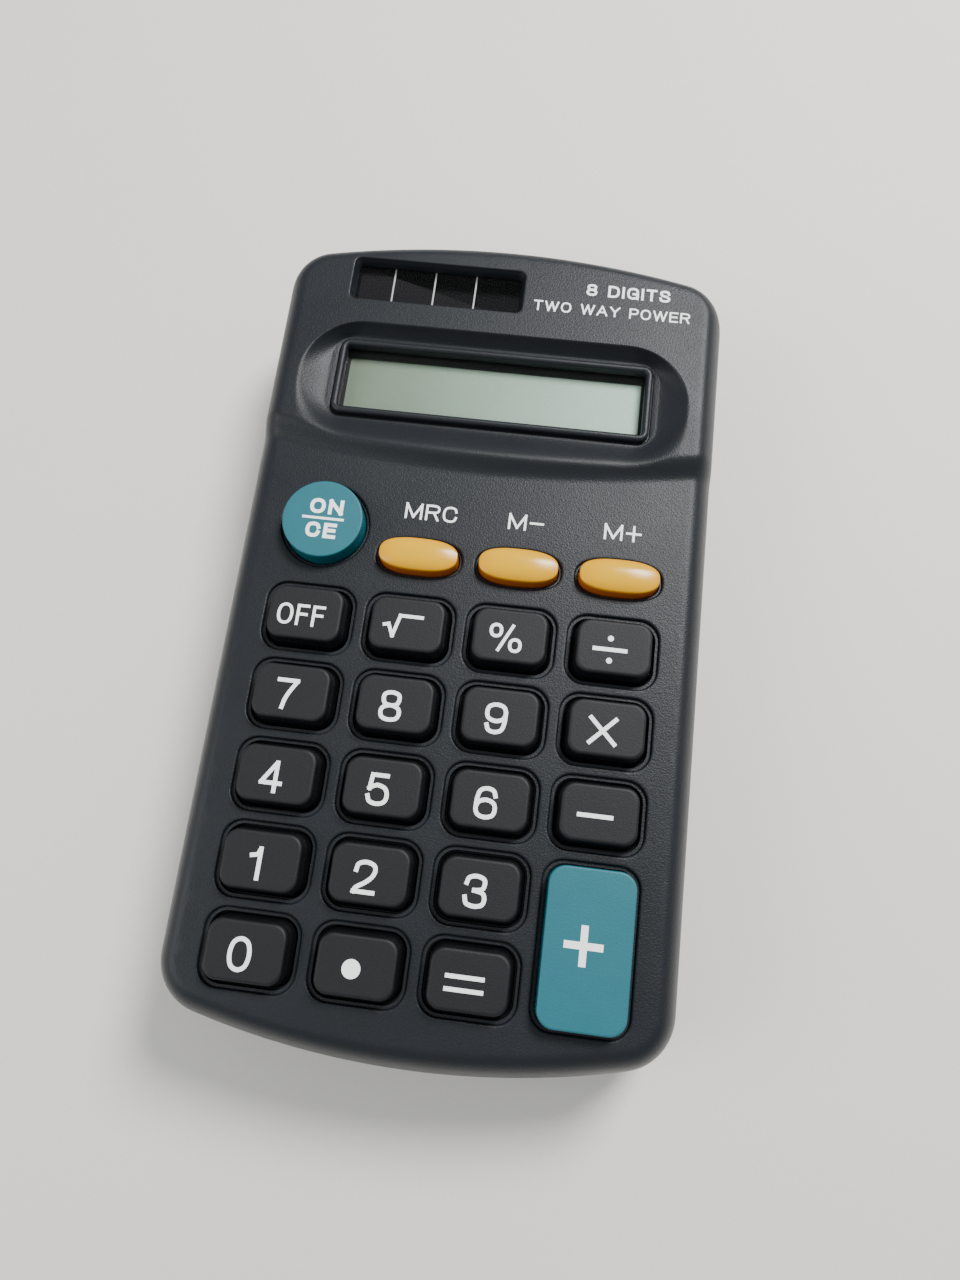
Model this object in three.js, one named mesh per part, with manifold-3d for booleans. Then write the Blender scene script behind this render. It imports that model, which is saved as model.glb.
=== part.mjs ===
// Pocket calculator, face up on its flat back: +Z is up out of the keys, +Y runs to the display end,
// +X to the reader's right. The origin is the middle of the base. All sizes are millimetres.
import * as THREE from "three";
import { mergeVertices } from "three/addons/utils/BufferGeometryUtils.js";
import Module from "manifold-3d";

const wasm = await Module();
wasm.setup();

// ---------------------------------------------------------------- driving dimensions
// casing
const caseWidth = 65.8;
const caseLength = 115;
const topArcRadius = 127; // the ends bulge out on these arcs
const bottomArcRadius = 112;
const cornerRadius = 8;
const partingHeight = 10; // where the two shells meet
const displayRise = 1.5; // the display end stands this much higher
const frontSetback = 0.3; // the front shell stands in from the rear shell's edge
// each wall leans in by its lean and rolls over by its roll; a sharper roll keeps to the edge
const frontWall = { lean: 1.1, roll: 2.9, sharpness: 4 };
const frontHollow = { lean: 0.8, roll: 0.8, sharpness: 4 };
const rearWall = { lean: 0.2, roll: 2.4, sharpness: 2.4 };
const shellWall = 1.8;
const faceThickness = 1.8;
const baseThickness = 1.8;
const partingGap = 0.1;
const lipHeight = 1;
const lipThickness = 0.6;
const lipClearance = 0.2;

// allowances used when solids are cut and joined
const cutRoom = 1; // a cutting solid reaches this far past the surface that it opens
const fuse = 0.5; // solids that are joined overlap by this
const railRoom = 1.6; // from the display's frame to the higher ceiling over the battery
const pilotRoom = 0.5; // a screw's hole goes on this far past its point
const slit = 0.1; // the least overlap or gap between touching solids

// the step between the keypad and the raised display end: an arc, lowest in the middle
const stepRun = 2.1;
const stepArcRadius = 166;

// the dished recess around the display, and the raised frame in it
const dishWidth = 54.2;
const dishLength = 18.2;
const dishOffset = -1.1; // middle of the dish, from the middle of the frame
const dishCornerRadius = 8.6;
const dishFloorWidth = 46.6;
const dishFloorLength = 12.9;
const dishFloorOffset = 0.1;
const dishFloorCornerRadius = 3;
const dishDepth = 1.9;
const frameWidth = 44.6;
const frameLength = 11.7;
const frameToBattery = 5.2; // middle of the frame to the near side of the cell
const frameCornerRadius = 1.5;
const frameBarWidth = 1.05;
const frameHeight = 0.9;
const openingCornerRadius = 0.6;

// display window and liquid crystal cell
const windowDepth = 1.3; // below the top of the frame
const windowThickness = 1;
const windowLedge = 0.6; // how far the window reaches under the frame
const cellGap = 0.2;
const polariserThickness = 0.2;
const glassThickness = 1.1;
const reflectorThickness = 0.25;
const cellWidth = 46.5;
const cellLength = 15.4;
const contactLedge = 2.8; // the front glass overhangs the rear one by this, towards the keys
const carrierRail = 2;
const carrierLip = 1.1;
const fitGap = 0.2; // easy fit of a dropped-in piece, each side

// solar panel
const solarCentreX = -9.6;
const solarOffset = 2.8; // middle of the opening, from the axis of the cell
const solarOpeningWidth = 24.8;
const solarOpeningLength = 6.8;
const solarOpeningRadius = 1;
const solarBevel = 0.5;
const solarRecess = 1.3;
const solarWindowThickness = 0.8;
const solarCellThickness = 1.1;
const solarFlange = 0.8; // the window and the panel reach this far under the face

// keys
const columnPitch = 13.3;
const rowPitch = 10.45;
const firstRowY = -3.1; // centre of the row that starts with OFF
const roundKeyY = 10.1;
const memoryKeyY = 6.8;
const keyWell = { width: 11.85, length: 9.3, radius: 2.6 };
const memoryWell = { width: 11.5, length: 5.5, exponent: 2.6 };
const roundWellDiameter = 11.9;
const wellDepth = 0.45;
const keyClearance = 0.15; // key to hole, each side
const keyHeight = 2.25; // key top above the keypad face
const keyEdgeRound = 0.3;
const keyFlangeReach = 0.5; // the flange that keeps the key in, beyond its hole
const keyFlangeThickness = 1;
const keyRestGap = 0.1; // flange to the underside of the face, at rest
const keyTopThickness = 1.3;
const keySkirtWall = 1;
const keyPostRadius = 1.4;
const keyPostDrop = 0.5; // the post reaches this far below the flange

// rubber key membrane and circuit board
const membraneThickness = 0.8;
const domeHeight = 1.75; // above the membrane's sheet
const domeBaseRadius = 3.2;
const domeTopRadius = 2;
const domeWall = 0.6;
const memoryDomeScale = 0.62;
const membraneMargin = 4.9; // sheet beyond the outermost key centres, along Y
const membraneSideMargin = 5.85;
const domeGap = 0.1;
const boardGap = 0.05;
const boardThickness = 1.2;
const boardWidth = 58.8;
const boardToBattery = 1.3; // edge of the board to the near side of the cell
const boardBottomY = -48.7;
const boardClearance = 0.6; // board to screw bosses
const boardHoleClearance = 0.25; // board to its own screws

// battery, an AA cell lying across the display end
const batteryRadius = 7.1;
const batteryBodyLength = 49;
const batteryNubRadius = 2.7;
const batteryNubLength = 1.2;
const batteryEndRoom = 5.3; // far side of the cell to the end of the casing
const batteryHeadroom = 1.85; // top of the cell to the solar panel
const batteryFloorGap = 0.25;
const batteryOffsetX = -0.4; // middle of the cell's body
const contactThickness = 0.4;
const contactWidth = 9;
const contactHeight = 10;
const springLength = 2.3;
const springRadius = 3;
const springWireRadius = 0.3;
const springTurns = 2.5;
const plateGap = 1.9; // button end of the cell to the flat contact
const holderWall = 1.2;
const holderTopZ = 12;
const ribThickness = 1.2;
const ribLength = 45;
const ribTopZ = 9.6;

// battery door, hinged on two tabs at its edge nearest the keys
const doorWidth = 52.6;
const doorNearMargin = 0.5; // opening beyond the cell, towards the keys
const doorFarMargin = 1;
const doorCornerRadius = 1.5;
const doorThickness = 1.6;
const doorCornerHeight = 2.4; // where the door's far corners follow the rolled edge up
const doorGap = 0.15;
const doorFarGap = 0.3;
const doorTab = { width: 6, reach: 1.5, thickness: 0.9, spacing: 30, lift: 0.15 };

// screws
const caseScrewX = { upper: 27, lower: 13.3 };
const upperScrewToStep = 0.5; // the upper case screws, below the foot of the step
const lowerScrewToEnd = 5.8;
const boardScrews = [
  [28, 8],
  [-28, 8],
  [28, -35.5],
  [-28, -35.5],
];
const caseScrew = { headRadius: 1.6, headHeight: 1.3, shaftRadius: 0.9, seatZ: 4.6, length: 9.5 };
const boardScrew = { headRadius: 1.5, headHeight: 1, shaftRadius: 0.75, length: 4 };
const screwHoleClearance = 0.08;
const counterboreClearance = 0.2;
const caseBossRadius = 1.9;
const caseBossFootZ = 8.6;
const boardBossRadius = 1.7;
const postGap = 0.2;
const postWall = 1;

// parts on the board's underside
const chipBlob = { x: 6, y: -13.5, radius: 5, height: 1.6 };
const capacitor = { x: -12, y: 24.5, radius: 2.5, length: 7.5 };
const resistor = { radius: 1, length: 5.5, leadRadius: 0.3, leadDrop: 2 };
const diode = { x: 8, y: 22.5, radius: 0.9, length: 4 };
const wireRadius = 0.5;

// ---------------------------------------------------------------- values that follow
const batteryCentreY = caseLength / 2 - batteryEndRoom - batteryRadius;
const batteryNearY = batteryCentreY - batteryRadius;
const batteryCentreZ = doorThickness + batteryFloorGap + batteryRadius;
const solarStack = solarCellThickness + solarWindowThickness + solarRecess;
const displayHeight = batteryCentreZ + batteryRadius + batteryHeadroom + solarStack;
const keypadHeight = displayHeight - displayRise; // the face around the keys
const frameCentreY = batteryNearY - frameToBattery;
const dishCentreY = frameCentreY + dishOffset;
const dishFloorCentreY = frameCentreY + dishFloorOffset;
const stepFootY = dishCentreY - dishLength / 2 - stepRun; // on the centre line
const solarCentreY = batteryCentreY + solarOffset;
const boardTopY = batteryNearY - boardToBattery;
const caseScrews = [
  [caseScrewX.upper, stepFootY - upperScrewToStep],
  [-caseScrewX.upper, stepFootY - upperScrewToStep],
  [caseScrewX.lower, lowerScrewToEnd - caseLength / 2],
  [-caseScrewX.lower, lowerScrewToEnd - caseLength / 2],
];
const faceUnderside = keypadHeight - faceThickness;
const dishFloorZ = displayHeight - dishDepth;
const frameTopZ = dishFloorZ + frameHeight;
const solarSeatZ = displayHeight - solarRecess;
const windowTopZ = frameTopZ - windowDepth;
const windowBottomZ = windowTopZ - windowThickness;
const frontGlassTopZ = windowBottomZ - cellGap - polariserThickness;
const frontGlassBottomZ = frontGlassTopZ - glassThickness;
const rearGlassBottomZ = frontGlassBottomZ - glassThickness;
const flangeTopZ = faceUnderside - keyRestGap;
const flangeBottomZ = flangeTopZ - keyFlangeThickness;
const keyFootZ = flangeBottomZ - keyPostDrop;
const keyTopZ = keypadHeight + keyHeight;
const sheetTopZ = keyFootZ - domeGap - domeHeight;
const sheetBottomZ = sheetTopZ - membraneThickness;
const boardTopZ = sheetBottomZ - boardGap;
const boardBottomZ = boardTopZ - boardThickness;
const doorNearY = batteryNearY - doorNearMargin;
const doorFarY = batteryCentreY + batteryRadius + doorFarMargin;
// rows 0 to 4 run from OFF down to 0
const rowY = (row) => firstRowY - row * rowPitch;
const columnX = (column) => (column - 1.5) * columnPitch;

// ---------------------------------------------------------------- geometry helpers
// A closed mesh from flat rings of equal point count, stacked by rising height.
function loft(levels) {
  const count = levels[0].ring.length;
  const positions = levels.flatMap(({ ring, z }) => ring.flatMap((p) => [p.x, p.y, z]));
  const index = [];
  for (let level = 0; level + 1 < levels.length; level++) {
    for (let i = 0; i < count; i++) {
      const a = level * count + i;
      const b = level * count + ((i + 1) % count);
      index.push(a, b, b + count, a, b + count, a + count);
    }
  }
  const last = (levels.length - 1) * count;
  for (const [a, b, c] of THREE.ShapeUtils.triangulateShape(levels[0].ring, [])) index.push(a, c, b);
  for (const [a, b, c] of THREE.ShapeUtils.triangulateShape(levels.at(-1).ring, [])) {
    index.push(last + a, last + b, last + c);
  }
  const geometry = new THREE.BufferGeometry();
  geometry.setAttribute("position", new THREE.Float32BufferAttribute(positions, 3));
  geometry.setIndex(index);
  return geometry;
}

function solidOf(geometry) {
  const bare = geometry.clone();
  bare.deleteAttribute("normal");
  bare.deleteAttribute("uv");
  const merged = mergeVertices(bare, 1e-4);
  const triVerts = new Uint32Array(merged.index.array);
  return new wasm.Manifold(
    new wasm.Mesh({ numProp: 3, vertProperties: merged.attributes.position.array, triVerts }),
  );
}

function geometryOf(solid) {
  const mesh = solid.getMesh();
  const geometry = new THREE.BufferGeometry();
  geometry.setAttribute("position", new THREE.BufferAttribute(mesh.vertProperties, 3));
  geometry.setIndex(new THREE.BufferAttribute(mesh.triVerts, 1));
  return geometry;
}

const union = (...solids) => solids.reduce((sum, solid) => sum.add(solid));
const without = (solid, ...cutters) => cutters.reduce((rest, cutter) => rest.subtract(cutter), solid);

// A ring's points: a rounded rectangle about a centre.
function roundedRectangle(width, length, radius, centreX = 0, centreY = 0, steps = 2) {
  const corners = [
    [1, 1, 0],
    [-1, 1, 1],
    [-1, -1, 2],
    [1, -1, 3],
  ];
  return corners.flatMap(([sx, sy, quarter]) =>
    Array.from({ length: steps + 1 }, (_, i) => {
      const angle = (quarter + i / steps) * (Math.PI / 2);
      return new THREE.Vector2(
        centreX + sx * (width / 2 - radius) + radius * Math.cos(angle),
        centreY + sy * (length / 2 - radius) + radius * Math.sin(angle),
      );
    }),
  );
}

// A ring's points: a superellipse, and a circle when the exponent is 2.
function superellipse(width, length, exponent, centreX = 0, centreY = 0, count = 24) {
  return Array.from({ length: count }, (_, i) => {
    const angle = (i / count) * 2 * Math.PI;
    const c = Math.cos(angle);
    const s = Math.sin(angle);
    return new THREE.Vector2(
      centreX + (width / 2) * Math.sign(c) * Math.abs(c) ** (2 / exponent),
      centreY + (length / 2) * Math.sign(s) * Math.abs(s) ** (2 / exponent),
    );
  });
}

const circle = (radius, x = 0, y = 0, count = 16) => superellipse(2 * radius, 2 * radius, 2, x, y, count);
const prism = (ring, low, high) => solidOf(loft([{ ring, z: low }, { ring, z: high }]));
const box = (width, length, low, high, x = 0, y = 0) =>
  solidOf(new THREE.BoxGeometry(width, length, high - low).translate(x, y, (low + high) / 2));

// A solid of revolution about +Z from (radius, height) pairs that start and end on the axis.
function turned(profile, segments = 16) {
  const points = profile.map(([radius, height]) => new THREE.Vector2(radius, height));
  return new THREE.LatheGeometry(points, segments).rotateX(Math.PI / 2);
}

// ---------------------------------------------------------------- the casing's plan outline
const arcCentre = { top: caseLength / 2 - topArcRadius, bottom: bottomArcRadius - caseLength / 2 };
const cornerX = caseWidth / 2 - cornerRadius;
const topCornerY = arcCentre.top + Math.sqrt((topArcRadius - cornerRadius) ** 2 - cornerX ** 2);
const bottomCornerY = arcCentre.bottom - Math.sqrt((bottomArcRadius - cornerRadius) ** 2 - cornerX ** 2);

function arc(cx, cy, radius, from, to, steps) {
  return Array.from({ length: steps }, (_, i) => {
    const angle = from + ((to - from) * i) / steps;
    return new THREE.Vector2(cx + radius * Math.cos(angle), cy + radius * Math.sin(angle));
  });
}

// The outline drawn in by an inset, point for point the same as the full one.
function outline(inset) {
  const topAngle = Math.atan2(topCornerY - arcCentre.top, cornerX);
  const bottomAngle = Math.atan2(arcCentre.bottom - bottomCornerY, cornerX);
  const r = cornerRadius - inset;
  return [
    ...arc(cornerX, topCornerY, r, 0, topAngle, 4),
    ...arc(0, arcCentre.top, topArcRadius - inset, topAngle, Math.PI - topAngle, 6),
    ...arc(-cornerX, topCornerY, r, Math.PI - topAngle, Math.PI, 4),
    new THREE.Vector2(-caseWidth / 2 + inset, topCornerY),
    ...arc(-cornerX, bottomCornerY, r, Math.PI, Math.PI + bottomAngle, 4),
    ...arc(0, arcCentre.bottom, bottomArcRadius - inset, Math.PI + bottomAngle, 2 * Math.PI - bottomAngle, 6),
    ...arc(cornerX, bottomCornerY, r, 2 * Math.PI - bottomAngle, 2 * Math.PI, 4),
    new THREE.Vector2(caseWidth / 2 - inset, bottomCornerY),
  ];
}

// How far in a wall has come at a share of its height, from 0 at the parting line to 1 at the flat.
const wallInset = (share, { lean, roll, sharpness }) =>
  lean * share + roll * (1 - Math.sqrt(1 - share ** sharpness));
const wallShares = [0, 0.45, 0.72, 0.88, 0.97, 1];

// The front shell's outside, or its hollow when drawn in by a wall, up to a flat face.
function frontBlock(faceZ, inset = frontSetback, wall = frontWall, below = 0) {
  const rise = faceZ - partingHeight;
  const levels = wallShares.map((share) => {
    const ring = outline(inset + wallInset(share, wall));
    return { ring, z: partingHeight + share * rise };
  });
  if (below) levels.unshift({ ring: outline(inset), z: partingHeight - below });
  return solidOf(loft(levels));
}

// The rear shell's outside, or its hollow, down to a flat base.
function rearBlock(baseZ, inset = 0, above = 0) {
  const drop = partingHeight - baseZ;
  const levels = wallShares.toReversed().map((share) => {
    const ring = outline(inset + wallInset(share, rearWall));
    return { ring, z: partingHeight - share * drop };
  });
  if (above) levels.push({ ring: outline(inset), z: partingHeight + above });
  return solidOf(loft(levels));
}

// Everything on the display side of the curved step, from the parting line to above the casing.
function displaySide() {
  const stations = 12;
  const blendDepth = 6; // the step fades out down the side walls over this length
  const farY = caseLength;
  const levels = Array.from({ length: stations + 1 }, (_, i) => {
    const x = (caseWidth + 4) * (i / stations - 0.5);
    const foot = stepFootY + x ** 2 / (2 * stepArcRadius);
    const slope = [0, 0.25, 0.5, 0.75, 1].map(
      (t) => new THREE.Vector2(foot + t * stepRun, keypadHeight + displayRise * (t * t * (3 - 2 * t))),
    );
    const ring = [
      new THREE.Vector2(farY, partingHeight),
      new THREE.Vector2(farY, displayHeight + cutRoom),
      new THREE.Vector2(foot + stepRun, displayHeight + cutRoom),
      ...slope.toReversed(),
      new THREE.Vector2(foot - blendDepth, partingHeight),
    ];
    return { ring, z: x };
  });
  const toCase = new THREE.Matrix4().makeBasis(
    new THREE.Vector3(0, 1, 0),
    new THREE.Vector3(0, 0, 1),
    new THREE.Vector3(1, 0, 0),
  );
  return solidOf(loft(levels).applyMatrix4(toCase));
}

// ---------------------------------------------------------------- the keys and where they sit
const keyNames = [
  ["key_off", "key_root", "key_percent", "key_divide"],
  ["key_7", "key_8", "key_9", "key_multiply"],
  ["key_4", "key_5", "key_6", "key_minus"],
  ["key_1", "key_2", "key_3"],
  ["key_0", "key_point", "key_equals"],
];
const memoryKeyNames = ["key_memory_recall", "key_memory_minus", "key_memory_plus"];

// Each kind of key draws its own outline, grown or shrunk all round by a number of millimetres.
const squareOutline = (grow) =>
  roundedRectangle(keyWell.width + 2 * grow, keyWell.length + 2 * grow, keyWell.radius + grow);
const tallOutline = (grow) =>
  roundedRectangle(keyWell.width + 2 * grow, keyWell.length + rowPitch + 2 * grow, keyWell.radius + grow);
const roundOutline = (grow) => circle(roundWellDiameter / 2 + grow, 0, 0, 20);
const memoryOutline = (grow) =>
  superellipse(memoryWell.width + 2 * grow, memoryWell.length + 2 * grow, memoryWell.exponent, 0, 0, 16);

// ledge is the shelf between the well's edge and the hole, draft how far a side leans in, hole to top
const squareKey = { outline: squareOutline, ledge: 0.45, draft: 0.42, domeScale: 1 };
const tallKey = { outline: tallOutline, ledge: 0.45, draft: 0.07, domeScale: 1 };
const roundKey = { outline: roundOutline, ledge: 0.35, draft: 0.1, domeScale: 1 };
const memoryKey = { outline: memoryOutline, ledge: 0.3, draft: 0.05, domeScale: memoryDomeScale };

const keys = [
  { name: "key_on_clear", kind: roundKey, x: columnX(0), y: roundKeyY, colour: "teal" },
  ...memoryKeyNames.map((name, i) => ({
    name,
    kind: memoryKey,
    x: columnX(i + 1),
    y: memoryKeyY,
    colour: "yellow",
  })),
  ...keyNames.flatMap((names, row) =>
    names.map((name, column) => (
      { name, kind: squareKey, x: columnX(column), y: rowY(row), colour: "black" }
    )),
  ),
  { name: "key_plus", kind: tallKey, x: columnX(3), y: rowY(3.5), colour: "teal" },
];

// A hollow cap with a flange that keeps it in the casing and a post that pushes its dome.
function keySolid({ outline: ringAt, ledge, draft }) {
  const bodyGrow = -ledge - keyClearance;
  const flangeGrow = -ledge + keyFlangeReach;
  const topGrow = bodyGrow - draft;
  const shell = solidOf(
    loft([
      { ring: ringAt(flangeGrow), z: flangeBottomZ },
      { ring: ringAt(flangeGrow), z: flangeTopZ },
      { ring: ringAt(bodyGrow), z: flangeTopZ + 0.01 },
      { ring: ringAt(topGrow), z: keyTopZ - keyEdgeRound },
      { ring: ringAt(topGrow - keyEdgeRound), z: keyTopZ },
    ]),
  );
  const hollow = prism(ringAt(bodyGrow - keySkirtWall), flangeBottomZ - 1, keyTopZ - keyTopThickness);
  const post = prism(circle(keyPostRadius, 0, 0, 8), keyFootZ, keyTopZ - keyTopThickness + 0.2);
  return union(without(shell, hollow), post);
}

// ---------------------------------------------------------------- front shell
function frontCase() {
  const raised = frontBlock(displayHeight).intersect(displaySide());
  const dishLevels = [
    { t: 0, z: dishFloorZ },
    { t: 0.35, z: dishFloorZ + dishDepth * 0.18 },
    { t: 0.7, z: dishFloorZ + dishDepth * 0.55 },
    { t: 1, z: displayHeight },
    { t: 1.15, z: displayHeight + 0.4 },
  ].map(({ t, z }) => {
    const mix = (floor, rim) => floor + t * (rim - floor);
    const ring = roundedRectangle(
      mix(dishFloorWidth, dishWidth),
      mix(dishFloorLength, dishLength),
      mix(dishFloorCornerRadius, dishCornerRadius),
      0,
      mix(dishFloorCentreY, dishCentreY),
      6,
    );
    return { ring, z };
  });
  const dish = solidOf(loft(dishLevels));
  const frame = prism(
    roundedRectangle(frameWidth, frameLength, frameCornerRadius, 0, frameCentreY),
    dishFloorZ - cutRoom,
    frameTopZ,
  );
  let shell = union(without(union(frontBlock(keypadHeight), raised), dish), frame);

  // the hollow, with more room over the battery
  const batteryRoomNearY = frameCentreY + frameLength / 2 + shellWall + railRoom;
  const upperHollow = frontBlock(displayHeight - faceThickness, shellWall, frontHollow, 1).intersect(
    box(caseWidth, caseLength, partingHeight - 2, displayHeight, 0, batteryRoomNearY + caseLength / 2),
  );
  const keptClear = [frontBlock(faceUnderside, shellWall, frontHollow, 1), upperHollow];

  // display opening, and the window's seat from inside
  const openingWidth = frameWidth - 2 * frameBarWidth;
  const openingLength = frameLength - 2 * frameBarWidth;
  keptClear.push(
    prism(
      roundedRectangle(openingWidth, openingLength, openingCornerRadius, 0, frameCentreY),
      faceUnderside - cutRoom,
      frameTopZ + cutRoom,
    ),
    box(
      openingWidth + 2 * windowLedge + fitGap,
      openingLength + 2 * windowLedge + fitGap,
      faceUnderside - cutRoom,
      windowTopZ,
      0,
      frameCentreY,
    ),
  );

  // solar opening with bevelled sides, and the seat of its window and panel
  const solarRing = (shrink) =>
    roundedRectangle(
      solarOpeningWidth - 2 * shrink,
      solarOpeningLength - 2 * shrink,
      solarOpeningRadius,
      solarCentreX,
      solarCentreY,
    );
  keptClear.push(
    solidOf(
      loft([
        { ring: solarRing(solarBevel), z: solarSeatZ - cutRoom },
        { ring: solarRing(solarBevel), z: solarSeatZ },
        { ring: solarRing(0), z: displayHeight },
        { ring: solarRing(0), z: displayHeight + cutRoom },
      ]),
    ),
    box(
      solarOpeningWidth - 2 * solarBevel + 2 * solarFlange + fitGap,
      solarOpeningLength - 2 * solarBevel + 2 * solarFlange + fitGap,
      faceUnderside - cutRoom,
      solarSeatZ,
      solarCentreX,
      solarCentreY,
    ),
  );

  // key wells and holes
  for (const { kind, x, y } of keys) {
    const at = (ring) => ring.map((p) => new THREE.Vector2(p.x + x, p.y + y));
    keptClear.push(
      prism(at(kind.outline(0)), keypadHeight - wellDepth, keypadHeight + cutRoom),
      prism(at(kind.outline(-kind.ledge)), faceUnderside - cutRoom, keypadHeight),
    );
  }

  // rebate for the rear shell's lip
  const rebate = lipThickness + lipClearance + partingGap;
  const lipRoomZ = partingHeight + lipHeight + lipClearance;
  keptClear.push(prism(outline(shellWall - rebate), partingHeight - cutRoom, lipRoomZ));
  shell = without(shell, ...keptClear);

  // screw bosses under the face, clear of the rear shell, with their pilot holes
  const bossRoom = union(
    prism(outline(shellWall + postGap), 0, lipRoomZ),
    prism(outline(0), lipRoomZ, displayHeight),
  );
  const bosses = [
    ...caseScrews.map(([x, y]) =>
      prism(circle(caseBossRadius, x, y, 12), caseBossFootZ, faceUnderside + fuse)),
    ...boardScrews.map(([x, y]) => prism(circle(boardBossRadius, x, y, 12), boardTopZ, faceUnderside + fuse)),
  ];
  const caseTipZ = caseScrew.seatZ + caseScrew.length + pilotRoom;
  const boardTipZ = boardBottomZ + boardScrew.length + pilotRoom;
  const pilots = [
    ...caseScrews.map(([x, y]) =>
      prism(circle(caseScrew.shaftRadius + screwHoleClearance, x, y, 12), caseBossFootZ - cutRoom, caseTipZ),
    ),
    ...boardScrews.map(([x, y]) =>
      prism(circle(boardScrew.shaftRadius + screwHoleClearance, x, y, 12), boardTopZ - cutRoom, boardTipZ),
    ),
  ];
  return without(union(shell, union(...bosses).intersect(bossRoom)), ...pilots);
}

// ---------------------------------------------------------------- rear shell and battery door
const doorCentreY = (doorNearY + doorFarY) / 2;
const doorRing = (nearGap, farGap, sideGap) =>
  roundedRectangle(
    doorWidth - 2 * sideGap,
    doorFarY - doorNearY - nearGap - farGap,
    doorCornerRadius,
    0,
    doorCentreY + (nearGap - farGap) / 2,
  );
const springPlateX = batteryOffsetX - batteryBodyLength / 2 - springLength - contactThickness;
const flatPlateX = batteryOffsetX + batteryBodyLength / 2 + batteryNubLength + plateGap;
const holderLength = contactWidth + 1;

function rearCase() {
  const hollow = rearBlock(baseThickness, shellWall, 2);
  const outside = rearBlock(0);
  const top = box(caseWidth + 2, caseLength + 2, partingHeight - partingGap, partingHeight + 4);
  const lip = without(
    prism(outline(shellWall - lipThickness), partingHeight - 2, partingHeight - partingGap + lipHeight),
    prism(outline(shellWall), partingHeight - 3, partingHeight + 3),
  );
  let shell = union(without(outside, hollow, top), lip);
  shell = without(shell, prism(doorRing(0, 0, 0), -1, partingHeight - 5));

  // posts for the case screws, and the walls that hold the battery
  const postTopZ = caseBossFootZ - postGap;
  const counterbore = caseScrew.headRadius + counterboreClearance;
  const posts = caseScrews.map(([x, y]) =>
    prism(circle(counterbore + postWall, x, y, 16), baseThickness / 2, postTopZ));
  // what is added stays within the outside skin, and above it within the front shell's hollow
  const inside = union(
    rearBlock(0.3, 0.6),
    prism(outline(shellWall + postGap), partingHeight - 1, partingHeight + 4),
  );
  const rib = box(
    ribLength,
    ribThickness,
    baseThickness / 2,
    ribTopZ,
    0,
    doorNearY - doorTab.reach - ribThickness / 2 - 0.2,
  );
  const holders = [
    [springPlateX - holderWall / 2, -1],
    [flatPlateX + contactThickness + holderWall / 2, 1],
  ].map(([x, side]) =>
    union(
      box(holderWall, holderLength, baseThickness / 2, holderTopZ, x + side * 0.05, batteryCentreY),
    ),
  );
  shell = union(shell, union(...posts, rib, ...holders).intersect(inside));

  const bores = caseScrews.flatMap(([x, y]) => [
    prism(circle(counterbore, x, y, 16), -1, caseScrew.seatZ),
    prism(
      circle(caseScrew.shaftRadius + counterboreClearance, x, y, 12),
      caseScrew.seatZ - slit,
      postTopZ + cutRoom,
    ),
  ]);
  return without(shell, ...bores);
}

function batteryDoor() {
  const skin = without(rearBlock(0), rearBlock(doorThickness, shellWall, 2));
  const panel = skin.intersect(prism(doorRing(doorGap, doorFarGap, doorGap), -1, doorCornerHeight));
  const tabLowZ = baseThickness + doorTab.lift;
  const tabs = [-1, 1].map((side) =>
    box(
      doorTab.width,
      doorTab.reach + 2,
      tabLowZ,
      tabLowZ + doorTab.thickness,
      (side * doorTab.spacing) / 2,
      doorNearY + doorGap - doorTab.reach + (doorTab.reach + 2) / 2,
    ),
  );
  const roots = [-1, 1].map((side) =>
    box(
      doorTab.width,
      1.2,
      doorThickness - 0.3,
      tabLowZ + slit,
      (side * doorTab.spacing) / 2,
      doorNearY + doorGap + 1.3,
    ),
  );
  return union(panel, ...tabs, ...roots);
}

// ---------------------------------------------------------------- display stack
const cellCentreY = frameCentreY;
const cellLowY = cellCentreY - cellLength / 2;
const cellHighY = cellCentreY + cellLength / 2;

function displayWindow() {
  const width = frameWidth - 2 * frameBarWidth + 2 * windowLedge;
  const length = frameLength - 2 * frameBarWidth + 2 * windowLedge;
  return box(width, length, windowBottomZ, windowTopZ, 0, frameCentreY);
}

const frontPolariser = () =>
  box(cellWidth - 2, cellLength - contactLedge - 0.6, frontGlassTopZ, frontGlassTopZ + polariserThickness, 0,
    cellCentreY + contactLedge / 2);
const frontGlass = () => box(cellWidth, cellLength, frontGlassBottomZ, frontGlassTopZ, 0, cellCentreY);
const rearGlass = () =>
  box(cellWidth, cellLength - contactLedge, rearGlassBottomZ, frontGlassBottomZ,
    0, cellCentreY + contactLedge / 2);
const reflector = () =>
  box(cellWidth - 2, cellLength - contactLedge - 0.6,
    rearGlassBottomZ - reflectorThickness, rearGlassBottomZ, 0,
    cellCentreY + contactLedge / 2);

// A frame round the cell, open towards the battery below its rear rail.
function displayCarrier() {
  const width = cellWidth + 2 * fitGap;
  const length = cellLength + 2 * fitGap;
  const railTopZ = faceUnderside - 0.05;
  const railLowZ = rearGlassBottomZ + slit;
  const lipTopZ = rearGlassBottomZ - reflectorThickness - 0.05;
  const rails = box(width + 2 * carrierRail, length + 1.6, railLowZ, railTopZ, 0, cellCentreY);
  const nearHalf = box(
    width + 2 * carrierRail,
    length - 4,
    lipTopZ - 0.6,
    railLowZ,
    0,
    cellCentreY - 2.8,
  );
  const room = box(width, length, lipTopZ, railTopZ + 1, 0, cellCentreY);
  const underside = box(width - 2 * carrierLip, length + 20, lipTopZ - 2, railLowZ + slit, 0, cellCentreY);
  return without(union(rails, nearHalf), room, underside);
}

const zebraStrip = () =>
  box(cellWidth - 3, contactLedge - 0.8, boardTopZ, frontGlassBottomZ, 0, cellLowY + contactLedge / 2);

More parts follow.
